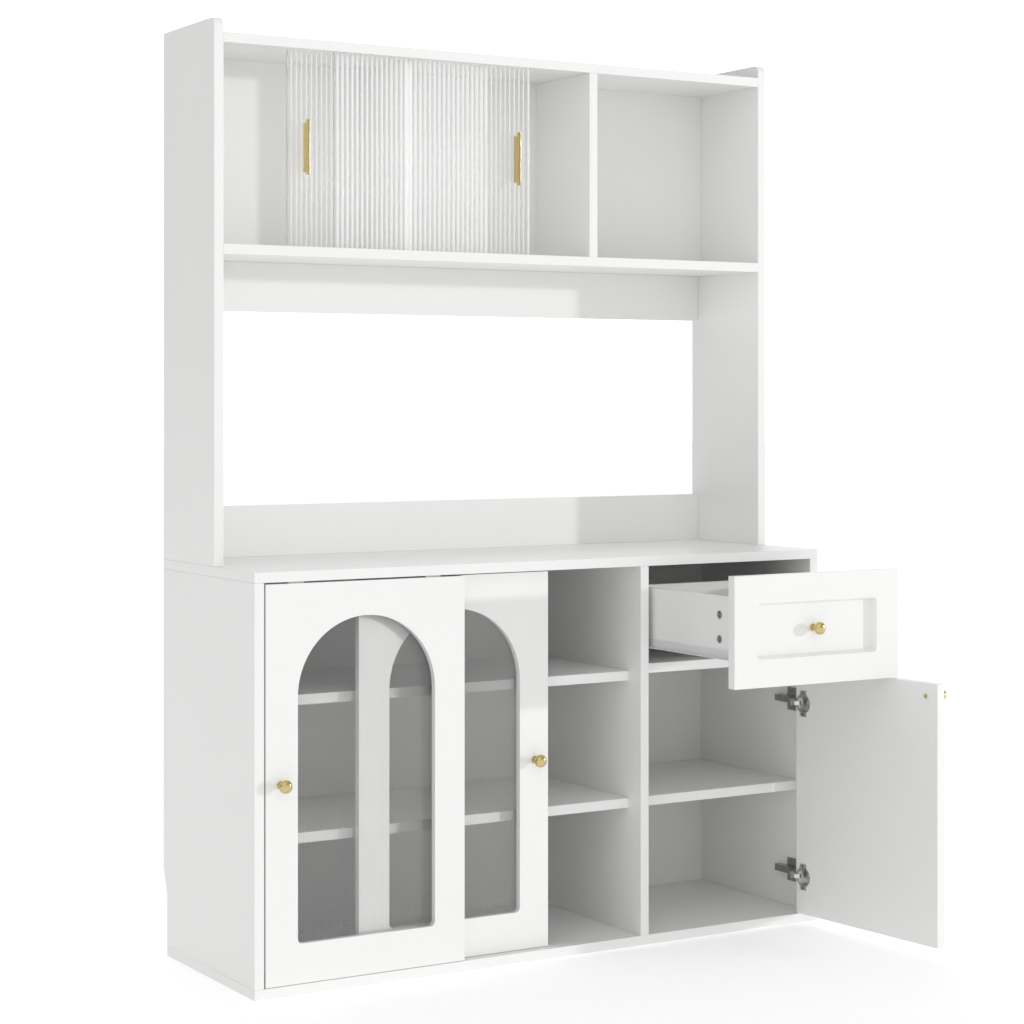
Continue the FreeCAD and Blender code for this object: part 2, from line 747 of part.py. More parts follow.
rail_depth = (f"{BACK} - rail_inset - board_thickness", f"{BACK} - rail_inset")
board("hutch_upper_rail", between_sides, rail_depth, (UPPER_RAIL_LOW, SHELF_LOW))
board("hutch_lower_rail", between_sides, rail_depth, ("base_height", LOWER_RAIL_TOP))

# Sliding doors with an arched window
DOOR_HEIGHT = f"({DOOR_HIGH} - {DOOR_LOW})"


def window_outline(sketch, spread):
    """The arched window of a sliding door, spread outwards by a distance."""
    low = f"window_margin - ({spread})"
    high = f"sliding_door_width - window_margin + ({spread})"
    sill = f"window_sill - ({spread})"
    spring = f"{DOOR_HEIGHT} - window_margin - (sliding_door_width - 2 * window_margin) / 2"
    radius = f"(window_corner_radius + ({spread}))"
    corners = [
        (f"{low} + {radius}", sill),
        (f"{high} - {radius}", sill),
        (high, f"{sill} + {radius}"),
        (high, spring),
        (low, spring),
        (low, f"{sill} + {radius}"),
    ]
    centres = {
        1: (f"{high} - {radius}", f"{sill} + {radius}"),
        3: ("sliding_door_width / 2", spring),
        5: (f"{low} + {radius}", f"{sill} + {radius}"),
    }
    return outline(sketch, corners, centres)


def door_panel_body(name):
    """The blank of a sliding door: a board, its window, and the rebate behind it."""
    body = doc.addObject("PartDesign::Body", f"{name}_body")
    face = [("0", "0"), ("sliding_door_width", "0"), ("sliding_door_width", DOOR_HEIGHT), ("0", DOOR_HEIGHT)]
    outer = outline(new_sketch(body, "XZ_Plane", f"{name}_face"), face)
    feature(body, "Pad", f"{name}_pad", outer, Length="sliding_door_thickness", Reversed=True)
    window = window_outline(new_sketch(body, "XZ_Plane", f"{name}_window"), "0")
    feature(body, "Pocket", f"{name}_opening", window, Type=1)
    back = new_sketch(body, "XZ_Plane", f"{name}_rebate", "-sliding_door_thickness")
    rebate = window_outline(back, "rebate_width")
    feature(body, "Pocket", f"{name}_rebate_cut", rebate, Length="rebate_depth", Reversed=True)
    return body


def window_glass(name, x, y, z):
    """The fluted pane of an arched window, flat side to the front."""
    body = doc.addObject("PartDesign::Body", f"{name}_shape")
    shape = window_outline(new_sketch(body, "XZ_Plane", f"{name}_edge"), "rebate_width - window_glass_gap")
    feature(body, "Pad", f"{name}_pad", shape, Length="window_glass_thickness", Reversed=True)
    slab = doc.addObject("Part::Feature", f"{name}_flutes")
    slab.Shape = fluted_slab(
        value("sliding_door_width"),
        value("window_glass_thickness"),
        value(DOOR_HEIGHT),
        value("window_flute_pitch"),
        value("window_flute_depth"),
    )
    common = doc.addObject("Part::Common", f"{name}_pane")
    common.Base = body
    common.Tool = slab
    return place(common, x, y, z)


def window_tabs(name, x, y, z):
    """Tabs let into the back of a sliding door over the edge of its glass, and their pockets."""
    mid_u = "sliding_door_width / 2"
    left_u = "window_margin - rebate_width"
    right_u = "sliding_door_width - window_margin + rebate_width"
    low_v = "window_sill + tab_end_inset"
    high_v = f"{DOOR_HEIGHT} - window_margin - (sliding_door_width - 2 * window_margin) / 2"
    tabs = [(left_u, v, -1, 0) for v in (low_v, high_v)]
    tabs += [(right_u, v, 1, 0) for v in (low_v, high_v)]
    tabs.append((mid_u, "window_sill - rebate_width", 0, -1))
    tabs.append((mid_u, f"{DOOR_HEIGHT} - window_margin + rebate_width", 0, 1))
    back = f"{y} + sliding_door_thickness"
    solids = []
    tools = []
    for u, v, out_u, out_v in tabs:
        spans = []
        land = []
        for centre, out in ((f"{x} + {u}", out_u), (f"{z} + {v}", out_v)):
            across = about(centre, "tab_width")
            spans.append(across if out == 0 else beside(centre, out, "(-tab_lap)", "tab_land"))
            land.append(centre if out == 0 else f"{centre} + {out} * tab_land / 2")
        wide = [(f"{low} - fit_clearance", f"{high} + fit_clearance") for low, high in spans]
        plate = box(f"{name}_plate", spans[0], (f"{back} - tab_thickness", back), spans[1])
        peg_low = f"{back} - tab_thickness - tab_peg_length"
        peg = rod(f"{name}_peg", "y", (land[0], peg_low, land[1]), "tab_peg_diameter", "tab_peg_length")
        solids.append(joined(name, [plate, peg]))
        sunk = (f"{back} - tab_thickness", f"{back} + cut_overrun")
        tools.append(box("tab_pocket", wide[0], sunk, wide[1]))
        hole_low = f"{peg_low} - fit_clearance"
        hole_size = "tab_peg_diameter + 2 * fit_clearance"
        hole_length = "tab_peg_length + fit_clearance + tab_thickness"
        tools.append(rod("tab_peg_hole", "y", (land[0], hole_low, land[1]), hole_size, hole_length))
    return solids, tools


def door_guides(name, x, middle):
    """Nylon guides in mortises of a sliding door's ends, whose fins run in the grooves."""
    solids = []
    tools = []
    reaches = {
        DOOR_LOW: (1, "door_low_gap + groove_depth - seat_gap"),
        DOOR_HIGH: (-1, "door_gap + groove_depth - guide_top_play"),
    }
    for low in (f"{x} + guide_inset", f"{x} + sliding_door_width - guide_inset - guide_length"):
        span = (low, f"{low} + guide_length")
        room = (f"{low} - fit_clearance", f"{low} + guide_length + fit_clearance")
        for end, (inward, reach) in reaches.items():
            block_z = beside(end, inward, "0", "guide_block_depth")
            fin_z = beside(end, inward, f"(-({reach}))", "0")
            room_z = beside(end, inward, "(-cut_overrun)", "(guide_block_depth + fit_clearance)")
            block = box(f"{name}_block", span, about(middle, "guide_block_width"), block_z)
            fin = box(f"{name}_fin", span, about(middle, "guide_fin"), fin_z)
            solids.append(joined(name, [block, fin]))
            room_y = about(middle, "guide_block_width + 2 * fit_clearance")
            tools.append(box("guide_mortise", room, room_y, room_z))
    return solids, tools


def sliding_door(side, x, knob_u, slid):
    """Every piece of one sliding door, modelled shut and slid to where it stands."""
    name = f"{side}_door"
    middle = DOOR_MIDDLES[side]
    face = f"{middle} - sliding_door_thickness / 2"
    back = f"{middle} + sliding_door_thickness / 2"
    knob_x = f"{x} + {knob_u}"
    knob_z = f"{DOOR_LOW} + {DOOR_HEIGHT} / 2"
    tabs, tab_tools = window_tabs(f"{name}_tab", x, face, DOOR_LOW)
    guides, guide_tools = door_guides(f"{name}_guide", x, middle)
    blank = place(door_panel_body(f"{name}_panel"), x, face, DOOR_LOW)
    panel = cut(f"{name}_panel_cut", blank, [*tab_tools, *guide_tools, knob_hole(knob_x, face, knob_z)])
    glass = window_glass(f"{name}_glass", x, f"{back} - rebate_depth", DOOR_LOW)
    shifted(f"{name}_panel", [panel], x=slid)
    shifted(f"{name}_glass", [glass], x=slid)
    shifted(f"{name}_glass_tabs", tabs, x=slid)
    shifted(f"{name}_guides", guides, x=slid)
    shifted(f"{name}_knob", [knob(f"{name}_knob_turned", knob_x, face, knob_z)], x=slid)
    fastener = knob_screw(f"{name}_knob_screw_solid", knob_x, back, knob_z, "sliding_door_thickness")
    shifted(f"{name}_knob_screw", [fastener], x=slid)


sliding_door("left", f"({BAY_LEFT} + door_gap)", "knob_edge_inset", "0")
RIGHT_DOOR_LOW = f"({DIVIDER_LEFT} - door_gap - sliding_door_width)"
sliding_door("right", RIGHT_DOOR_LOW, "sliding_door_width - knob_edge_inset", "-right_door_slid")


# Frameless fluted panes of the hutch and their bar pulls
PANE_WIDTH = f"(({HUTCH_DIVIDER_LEFT} - {BAY_LEFT} - 2 * pane_end_gap + pane_overlap) / 2)"


def glass_pane(side, x, pull_u, slid):
    name = f"upper_{side}"
    front = f"{PANE_MIDDLES[side]} - pane_thickness / 2"
    low = f"{SHELF_TOP} - pane_groove_low + seat_gap"
    high = f"{ROOF_LOW} + pane_groove_high - pane_top_play"
    slab = doc.addObject("Part::Feature", f"{name}_slab")
    slab.Shape = fluted_slab(
        value(PANE_WIDTH),
        value("pane_thickness"),
        value(f"{high} - ({low})"),
        value("pane_flute_pitch"),
        value("pane_flute_depth"),
    )
    shifted(f"{name}_glass", [place(slab, x, front, low)], x=slid)
    middle = f"{x} + {pull_u}"
    web_front = f"{front} - pull_web_depth"
    height = f"({SHELF_TOP} + ({ROOF_LOW} - {SHELF_TOP}) * pull_height_share)"
    web_depth = (web_front, front)
    web = box(f"{name}_web", about(middle, "pull_web_width"), web_depth, about(height, "pull_web_length"))
    bar_depth = (f"{web_front} - pull_bar_thickness", web_front)
    bar = box(f"{name}_bar", about(middle, "pull_bar_width"), bar_depth, about(height, "pull_length"))
    shifted(f"{name}_pull", [joined(f"{name}_pull_solid", [web, bar])], x=slid)


glass_pane("left", f"({BAY_LEFT} + pane_end_gap)", "pull_edge_inset", f"{PANE_WIDTH} * left_pane_slid_share")
RIGHT_PANE_LOW = f"({HUTCH_DIVIDER_LEFT} - pane_end_gap - {PANE_WIDTH})"
right_slid = f"-{PANE_WIDTH} * right_pane_slid_share"
glass_pane("right", RIGHT_PANE_LOW, f"{PANE_WIDTH} - pull_edge_inset", right_slid)

# Drawer front with a sunk field
FRONT_LOW = f"({DIVIDER_RIGHT} + door_gap)"
FRONT_BACK = f"({FRONT} + front_thickness)"


def field_outline(sketch, inset, radius):
    """A round-cornered rectangle inside the drawer front."""
    low = f"({inset})"
    right = f"({FRONT_WIDTH} - {low})"
    top = f"(drawer_front_height - {low})"
    round_low = f"({low} + {radius})"
    round_right = f"({right} - {radius})"
    round_top = f"({top} - {radius})"
    corners = [
        (round_low, low),
        (round_right, low),
        (right, round_low),
        (right, round_top),
        (round_right, top),
        (round_low, top),
        (low, round_top),
        (low, round_low),
    ]
    centres = {
        1: (round_right, round_low),
        3: (round_right, round_top),
        5: (round_low, round_top),
        7: (round_low, round_low),
    }
    return outline(sketch, corners, centres)


front_body = doc.addObject("PartDesign::Body", "drawer_front_body")
front_face = [
    ("0", "0"),
    (FRONT_WIDTH, "0"),
    (FRONT_WIDTH, "drawer_front_height"),
    ("0", "drawer_front_height"),
]
front_sketch = outline(new_sketch(front_body, "XZ_Plane", "drawer_front_face"), front_face)
feature(front_body, "Pad", "drawer_front_pad", front_sketch, Length="front_thickness", Reversed=True)
field_edge = field_outline(
    new_sketch(front_body, "XZ_Plane", "field_edge"), "recess_margin", "recess_corner_radius"
)
field_floor = field_outline(
    new_sketch(front_body, "XZ_Plane", "field_floor", "-recess_depth"),
    "recess_margin + recess_slope",
    "(recess_corner_radius - recess_slope)",
)
field = feature(front_body, "SubtractiveLoft", "drawer_front_field", field_edge, Ruled=True)
field.Sections = [field_floor]
place(front_body, FRONT_LOW, FRONT, DRAWER_LOW)

# Drawer box: two sides, a back and a bottom in their grooves
BOX_LOW = f"({DRAWER_LOW} + drawer_box_rise)"
BOX_BACK = f"({FRONT_BACK} + drawer_length)"
BOX_MIDDLE = f"({BOX_LOW} + drawer_side_height / 2)"
BOTTOM_LOW = f"({BOX_LOW} + drawer_bottom_rise)"
WALLS = {"left": (DIVIDER_RIGHT, 1), "right": (BAY_RIGHT, -1)}
INNER_LEFT = f"({DIVIDER_RIGHT} + runner_space + drawer_side_thickness)"
INNER_RIGHT = f"({BAY_RIGHT} - runner_space - drawer_side_thickness)"
bottom_groove = box(
    "drawer_bottom_groove",
    (f"{INNER_LEFT} - drawer_groove_depth", f"{INNER_RIGHT} + drawer_groove_depth"),
    (f"{FRONT_BACK} - cut_overrun", f"{BOX_BACK} + cut_overrun"),
    (f"{BOTTOM_LOW} - fit_clearance", f"{BOTTOM_LOW} + drawer_bottom_thickness + fit_clearance"),
)
cam_locks = []
cam_bolts = []
bolt_holes = []
side_tools = {"left": [bottom_groove], "right": [bottom_groove]}
for side, (wall, sense) in WALLS.items():
    outer = beside(wall, sense, "runner_space", "runner_space + cam_depth")
    room = beside(wall, sense, "(runner_space - cut_overrun)", "runner_space + cam_depth + fit_clearance")
    middle = f"{wall} + {sense} * (runner_space + drawer_side_thickness / 2)"
    for offset in ("cam_spacing / 2", "-cam_spacing / 2"):
        z = f"{BOX_MIDDLE} + {offset}"
        y = f"{FRONT_BACK} + cam_setback"
        bolt_low = f"{FRONT_BACK} - cam_bolt_bite"
        bolt_hole = rod(
            "cam_bolt_hole",
            "y",
            (middle, f"{bolt_low} - fit_clearance", z),
            "cam_bolt_diameter + 2 * fit_clearance",
            "cam_bolt_bite + cam_setback + 2 * fit_clearance",
        )
        bolt_length = "cam_bolt_bite + cam_setback"
        cam_bolts.append(rod("cam_bolt", "y", (middle, bolt_low, z), "cam_bolt_diameter", bolt_length))
        disc = rod("cam_disc", "x", (outer[0], y, z), "cam_diameter", "cam_depth")
        cam_locks.append(cut("cam_lock", disc, [bolt_hole]))
        seat_length = f"({room[1]}) - ({room[0]})"
        seat = rod("cam_seat", "x", (room[0], y, z), "cam_diameter + 2 * fit_clearance", seat_length)
        side_tools[side] += [joined("cam_way", [seat, bolt_hole])]
        bolt_holes.append(bolt_hole)
FRONT_MIDDLE_X = f"({FRONT_LOW} + {FRONT_WIDTH} / 2)"
FRONT_MIDDLE_Z = f"({DRAWER_LOW} + drawer_front_height / 2)"
FIELD_FACE = f"({FRONT} + recess_depth)"
front_tools = [*bolt_holes, knob_hole(FRONT_MIDDLE_X, FRONT, FRONT_MIDDLE_Z)]
OUT = "-drawer_out"
shifted("drawer_front", [cut("drawer_front_cut", front_body, front_tools)], y=OUT)
for side, (wall, sense) in WALLS.items():
    blank = box(
        f"drawer_{side}_side_blank",
        beside(wall, sense, "runner_space", "runner_space + drawer_side_thickness"),
        (FRONT_BACK, BOX_BACK),
        (BOX_LOW, f"{BOX_LOW} + drawer_side_height"),
    )
    shifted(f"drawer_{side}_side", [cut(f"drawer_{side}_side_cut", blank, side_tools[side])], y=OUT)
drawer_back = box(
    "drawer_back_board",
    (INNER_LEFT, INNER_RIGHT),
    (f"{BOX_BACK} - drawer_side_thickness", BOX_BACK),
    (f"{BOTTOM_LOW} + drawer_bottom_thickness", f"{BOX_LOW} + drawer_side_height"),
)
bottom_reach = "(drawer_groove_depth - fit_clearance)"
drawer_bottom = box(
    "drawer_bottom_board",
    (f"{INNER_LEFT} - {bottom_reach}", f"{INNER_RIGHT} + {bottom_reach}"),
    (FRONT_BACK, BOX_BACK),
    (BOTTOM_LOW, f"{BOTTOM_LOW} + drawer_bottom_thickness"),
)
shifted("drawer_back", [drawer_back], y=OUT)
shifted("drawer_bottom", [drawer_bottom], y=OUT)
shifted("drawer_cam_locks", cam_locks, y=OUT)
shifted("drawer_cam_bolts", cam_bolts, y=OUT)
shifted("drawer_knob", [knob("drawer_knob_turned", FRONT_MIDDLE_X, FIELD_FACE, FRONT_MIDDLE_Z)], y=OUT)
field_wall = "front_thickness - recess_depth"
drawer_screw = knob_screw("drawer_knob_screw_solid", FRONT_MIDDLE_X, FRONT_BACK, FRONT_MIDDLE_Z, field_wall)
shifted("drawer_knob_screw", [drawer_screw], y=OUT)

# Runners: a channel on each wall with a front roller, and an angle under the drawer with a rear roller
FLANGE_LOW = f"({BOX_LOW} - runner_steel)"
TRACK_TOP = f"({FLANGE_LOW} - roller_diameter - 2 * seat_gap)"
CHANNEL_LOW = f"({TRACK_TOP} - runner_steel)"
CHANNEL_HIGH = f"({BOX_LOW} + channel_head_room)"
ROLLER_Z = f"({FLANGE_LOW} - seat_gap - roller_diameter / 2)"
CHANNEL_FRONT = f"({FRONT_BACK} + runner_front_gap)"
CHANNEL_BACK = f"({PANEL_FRONT} - runner_back_gap)"
cabinet_runners = []
drawer_runners = []
cabinet_rollers = []
drawer_rollers = []


def roller(name, span, y):
    """A nylon wheel that turns on a stub axle across the runner."""
    length = f"({span[1]}) - ({span[0]})"
    wheel = rod(f"{name}_wheel", "x", (span[0], y, ROLLER_Z), "roller_diameter", length)
    bore = rod(
        f"{name}_bore",
        "x",
        (f"{span[0]} - cut_overrun", y, ROLLER_Z),
        "roller_axle_diameter + 2 * running_clearance",
        f"{length} + 2 * cut_overrun",
    )
    return cut(name, wheel, [bore])


for side, (wall, sense) in WALLS.items():
    web = box(
        f"{side}_channel_web",
        beside(wall, sense, "0", "runner_steel"),
        (CHANNEL_FRONT, CHANNEL_BACK),
        (CHANNEL_LOW, CHANNEL_HIGH),
    )
    stub = beside(wall, sense, "0", "channel_width")
    lips = [
        box(f"{side}_channel_lip", stub, (CHANNEL_FRONT, CHANNEL_BACK), span)
        for span in ((CHANNEL_LOW, TRACK_TOP), (f"{CHANNEL_HIGH} - runner_steel", CHANNEL_HIGH))
    ]
    wheel_span = beside(wall, sense, "runner_steel + roller_end_gap", "channel_width")
    fore = f"{CHANNEL_FRONT} + roller_inset"
    start = (stub[0], fore, ROLLER_Z)
    axle = rod(f"{side}_channel_axle", "x", start, "roller_axle_diameter", "channel_width")
    cabinet_runners.append(joined(f"{side}_channel", [web, *lips, axle]))
    cabinet_rollers.append(roller(f"{side}_cabinet_roller", wheel_span, fore))

    angle_depth = (f"{FRONT_BACK} + runner_front_gap", BOX_BACK)
    angle_web = beside(wall, sense, "runner_space - runner_steel", "runner_space")
    angle_z = (FLANGE_LOW, f"{FLANGE_LOW} + runner_web_height")
    upright = box(f"{side}_angle_web", angle_web, angle_depth, angle_z)
    flange = box(
        f"{side}_angle_flange",
        beside(wall, sense, "runner_flange_gap", "runner_space + runner_under"),
        angle_depth,
        (FLANGE_LOW, BOX_LOW),
    )
    aft = f"{BOX_BACK} - roller_inset"
    ear_z = (f"{ROLLER_Z} - roller_axle_diameter", f"{FLANGE_LOW} + runner_steel")
    ear = box(f"{side}_angle_ear", angle_web, about(aft, "roller_diameter"), ear_z)
    stub = beside(wall, sense, "runner_flange_gap", "runner_space")
    stub_length = "runner_space - runner_flange_gap"
    axle = rod(f"{side}_angle_axle", "x", (stub[0], aft, ROLLER_Z), "roller_axle_diameter", stub_length)
    screw_ways = []
    for step in (1, 2):
        hole_y = f"{FRONT_BACK} + roller_inset + {step} * runner_hole_spacing"
        start = (f"{angle_web[0]} - cut_overrun", hole_y, f"{BOX_LOW} + runner_web_height / 2")
        length = "runner_steel + 2 * cut_overrun"
        screw_ways.append(rod("runner_hole", "x", start, "runner_hole_diameter", length))
    angle = joined(f"{side}_angle", [upright, flange, ear, axle])
    drawer_runners.append(cut(f"{side}_angle_drilled", angle, screw_ways))
    far = "runner_space - runner_steel - roller_end_gap"
    drawer_rollers.append(roller(f"{side}_drawer_roller", beside(wall, sense, "runner_flange_gap", far), aft))
keep("cabinet_runners", group("cabinet_runners", cabinet_runners))
keep("cabinet_rollers", group("cabinet_rollers", cabinet_rollers))
shifted("drawer_runners", drawer_runners, y=OUT)
shifted("drawer_rollers", drawer_rollers, y=OUT)

# Cupboard door, modelled shut and swung open on its concealed hinges
SWING_AXIS = (f"({BAY_RIGHT} - swing_axis_inset)", f"({FRONT} - swing_axis_lead)")
DOOR_EDGE = f"({BAY_RIGHT} - door_gap)"
CUP_X = f"({DOOR_EDGE} - cup_edge - cup_diameter / 2)"
cups = []
cup_screws = []
door_tools = []
for height in HINGE_HEIGHTS:
    bore_low = f"{FRONT_BACK} - cup_depth - fit_clearance"
    bore_length = "cup_depth + fit_clearance + cut_overrun"
    door_tools.append(
        rod("cup_bore", "y", (CUP_X, bore_low, height), "cup_diameter + 2 * fit_clearance", bore_length)
    )
    shell = rod("cup_shell", "y", (CUP_X, f"{FRONT_BACK} - cup_depth", height), "cup_diameter", "cup_depth")
    rim = rod("cup_rim", "y", (CUP_X, FRONT_BACK, height), "cup_rim_diameter", "cup_flange_thickness")
    wing = box(
        "cup_wing",
        about(CUP_X, "cup_flange_width"),
        (FRONT_BACK, f"{FRONT_BACK} + cup_flange_thickness"),
        about(height, "cup_flange_height"),
    )
    hollow = rod(
        "cup_hollow",
        "y",
        (CUP_X, f"{FRONT_BACK} - cup_depth + cup_wall", height),
        "cup_diameter - 2 * cup_wall",
        "cup_depth + cup_flange_thickness",
    )
    screw_holes = []
    for offset in ("cup_screw_offset", "-cup_screw_offset"):
        seat = (CUP_X, f"{FRONT_BACK} + cup_flange_thickness", f"{height} + {offset}")
        cup_screws.append(screw("hinge_cup_screw", "y", seat, -1, HINGE_SCREW))
        hole_low = f"{seat[1]} - hinge_screw_length - fit_clearance"
        hole_length = "hinge_screw_length + fit_clearance + cut_overrun"
        hole_size = "hinge_screw_diameter + 2 * fit_clearance"
        screw_holes.append(rod("cup_screw_hole", "y", (seat[0], hole_low, seat[2]), hole_size, hole_length))
    door_tools += screw_holes
    cup = cut("cup_drilled", joined("cup_solid", [shell, rim, wing]), [hollow, *screw_holes])
    # A cross pin from wall to wall of the cup, which the link meets when the door stands open
    pin_reach = "(cup_pin_offset + cup_pin_diameter / 2)"
    half_pin = f"sqrt(pow(cup_diameter / 2 - cup_wall / 2; 2) - pow({pin_reach}; 2))"
    pin_spot = (f"{CUP_X} + cup_pin_offset", f"{FRONT_BACK} - cup_pin_sink", f"{height} - {half_pin}")
    cross_pin = rod("cup_pin", "z", pin_spot, "cup_pin_diameter", f"2 * {half_pin}")
    cups.append(joined("hinge_cup", [cup, cross_pin]))
knob_x = f"{FRONT_LOW} + knob_edge_inset"
knob_z = f"{CUPBOARD_HIGH} - cupboard_knob_drop"
door_blank = box(
    "cupboard_door_blank",
    (FRONT_LOW, DOOR_EDGE),
    (FRONT, FRONT_BACK),
    (DOOR_LOW, CUPBOARD_HIGH),
)
door_tools.append(knob_hole(knob_x, FRONT, knob_z))
swung("cupboard_door_panel", [cut("cupboard_door_cut", door_blank, door_tools)])
swung("cupboard_door_knob", [knob("cupboard_knob_turned", knob_x, FRONT, knob_z)])
door_screw = knob_screw("cupboard_knob_screw", knob_x, FRONT_BACK, knob_z, "front_thickness")
swung("cupboard_door_knob_screw", [door_screw])
swung("hinge_cups", cups)
swung("hinge_cup_screws", cup_screws)

# Hinge plates, arms, pins and links on the cabinet's right wall
PIVOT_X = f"({BAY_RIGHT} - link_pivot_inset)"
PIVOT_Y = f"({FRONT} + link_pivot_setback)"
LINK_RADIUS = "((link_length * link_length / 4 + link_bulge * link_bulge) / (2 * link_bulge))"
LINK_HALF_ANGLE = f"asin(link_length / 2 / {LINK_RADIUS})"
EAR_REACH = "(link_eye_diameter / 2 * sqrt(1 / 2))"
plates = []
arms = []
hinge_pins = []
links = []


def hinge_arm(height):
    """A cranked arm from the plate to the link's pivot, forked round the link."""
    body = doc.addObject("PartDesign::Body", "hinge_arm_body")
    profile = new_sketch(body, "XY_Plane", "hinge_arm_profile")
    corners = [
        (PLATE_FACE, f"{FRONT} + arm_rear"),
        (f"{BAY_RIGHT} - arm_rise", f"{FRONT} + arm_rear"),
        (f"{BAY_RIGHT} - arm_rise", f"{FRONT} + arm_neck"),
        (f"{PIVOT_X} - {EAR_REACH}", f"{PIVOT_Y} + {EAR_REACH}"),
        (f"{PIVOT_X} + {EAR_REACH}", f"{PIVOT_Y} - {EAR_REACH}"),
        (PLATE_FACE, PLATE_FRONT),
    ]
    feature(body, "Pad", "hinge_arm_pad", outline(profile, corners), Length="arm_height")
    place(body, "0", "0", f"{height} - arm_height / 2")
    low = f"{height} - arm_height / 2"
    ear = rod("hinge_ear", "z", (PIVOT_X, PIVOT_Y, low), "link_eye_diameter", "arm_height")
    slot = box(
        "hinge_slot",
        (f"{PIVOT_X} - link_length", BAY_RIGHT),
        (f"{PIVOT_Y} - link_length", f"{PIVOT_Y} + arm_slot_depth"),
        about(height, "link_height + 2 * link_side_gap"),
    )
    bore_size = "hinge_pin_diameter + 2 * running_clearance"
    bore = rod(
        "hinge_ear_bore",
        "z",
        (PIVOT_X, PIVOT_Y, f"{low} - cut_overrun"),
        bore_size,
        "arm_height + 2 * cut_overrun",
    )
    return cut("hinge_arm", joined("hinge_arm_solid", [body, ear]), [slot, bore])


def hinge_link(height):
    """A bowed strap with an eye on the pivot, which reaches into the cup."""
    low = f"{height} - link_height / 2"
    centre_u = "(link_length / 2)"
    centre_v = f"({LINK_RADIUS} - link_bulge)"
    centre = (
        f"{PIVOT_X} + {centre_u} * cos(link_rest_angle) - {centre_v} * sin(link_rest_angle)",
        f"{PIVOT_Y} + {centre_u} * sin(link_rest_angle) + {centre_v} * cos(link_rest_angle)",
    )
    rings = []
    for size in (f"2 * {LINK_RADIUS} + link_thickness", f"2 * {LINK_RADIUS} - link_thickness"):
        rings.append(rod("link_ring", "z", (*centre, low), size, "link_height"))
    bow = rings[0]
    bind(bow, Angle=f"2 * {LINK_HALF_ANGLE}")
    bow.Placement = FreeCAD.Placement(bow.Placement.Base, FreeCAD.Rotation(FreeCAD.Vector(0, 0, 1), 90))
    turn = f"270 deg + link_rest_angle * 1 deg - {LINK_HALF_ANGLE}"
    bow.setExpression("Placement.Rotation.Angle", bound(turn))
    strap = cut("link_strap", bow, [rings[1]])
    eye = rod("link_eye", "z", (PIVOT_X, PIVOT_Y, low), "link_eye_diameter", "link_height")
    bore = rod(
        "link_bore",
        "z",
        (PIVOT_X, PIVOT_Y, f"{low} - cut_overrun"),
        "hinge_pin_diameter + 2 * running_clearance",
        "link_height + 2 * cut_overrun",
    )
    return cut("hinge_link", joined("link_solid", [strap, eye]), [bore])


for height in HINGE_HEIGHTS:
    plate_span = beside(BAY_RIGHT, -1, "0", "plate_thickness")
    wing = box(
        "plate_wing",
        plate_span,
        (PLATE_FRONT, f"{PLATE_FRONT} + plate_width"),
        about(height, "plate_height"),
    )
    foot_depth = (PLATE_FRONT, f"{FRONT} + arm_rear")
    foot = box("plate_foot", plate_span, foot_depth, about(height, "plate_foot_height"))
    plates.append(cut("hinge_plate", joined("plate_solid", [wing, foot]), plate_holes[height]))
    arms.append(hinge_arm(height))
    links.append(hinge_link(height))
    pin_start = (PIVOT_X, PIVOT_Y, f"{height} - arm_height / 2")
    hinge_pins.append(rod("hinge_pin", "z", pin_start, "hinge_pin_diameter", "arm_height"))
keep("hinge_plates", group("hinge_plates", plates))
keep("hinge_arms", group("hinge_arms", arms))
keep("hinge_pins", group("hinge_pins", hinge_pins))
keep("hinge_links", group("hinge_links", links))

# Check every object before anything is written
doc.recompute()
for thing in doc.Objects:
    if "Invalid" in thing.State or "Error" in thing.State:
        raise RuntimeError(f"{thing.Label} failed: {thing.State}")
for name, thing in nodes.items():
    shape = thing.Shape
    if shape.isNull() or not shape.isValid() or not shape.Solids:
        raise RuntimeError(f"{name} has no valid solid")

os.makedirs("parts", exist_ok=True)
for name, thing in nodes.items():
    thing.Shape.exportStep(f"parts/{name}.step")
    print(f"{name}: {len(thing.Shape.Solids)} solids, {thing.Shape.Volume:.0f} cubic millimetres")
print(f"{len(nodes)} sub-parts")
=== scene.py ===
# %% [markdown]
# # A white kitchen hutch
# The solids of the hutch were made in CAD and packed as one model with moving bodies.
# This script dresses them: it eases the edges of the boards, turns the knobs, cuts the
# small recesses of the fittings, gives every piece a finish and lights the whole like a
# studio picture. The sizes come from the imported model, so nothing drifts from the CAD.

import json
import math

import bmesh
import bpy
from mathutils import Matrix, Vector

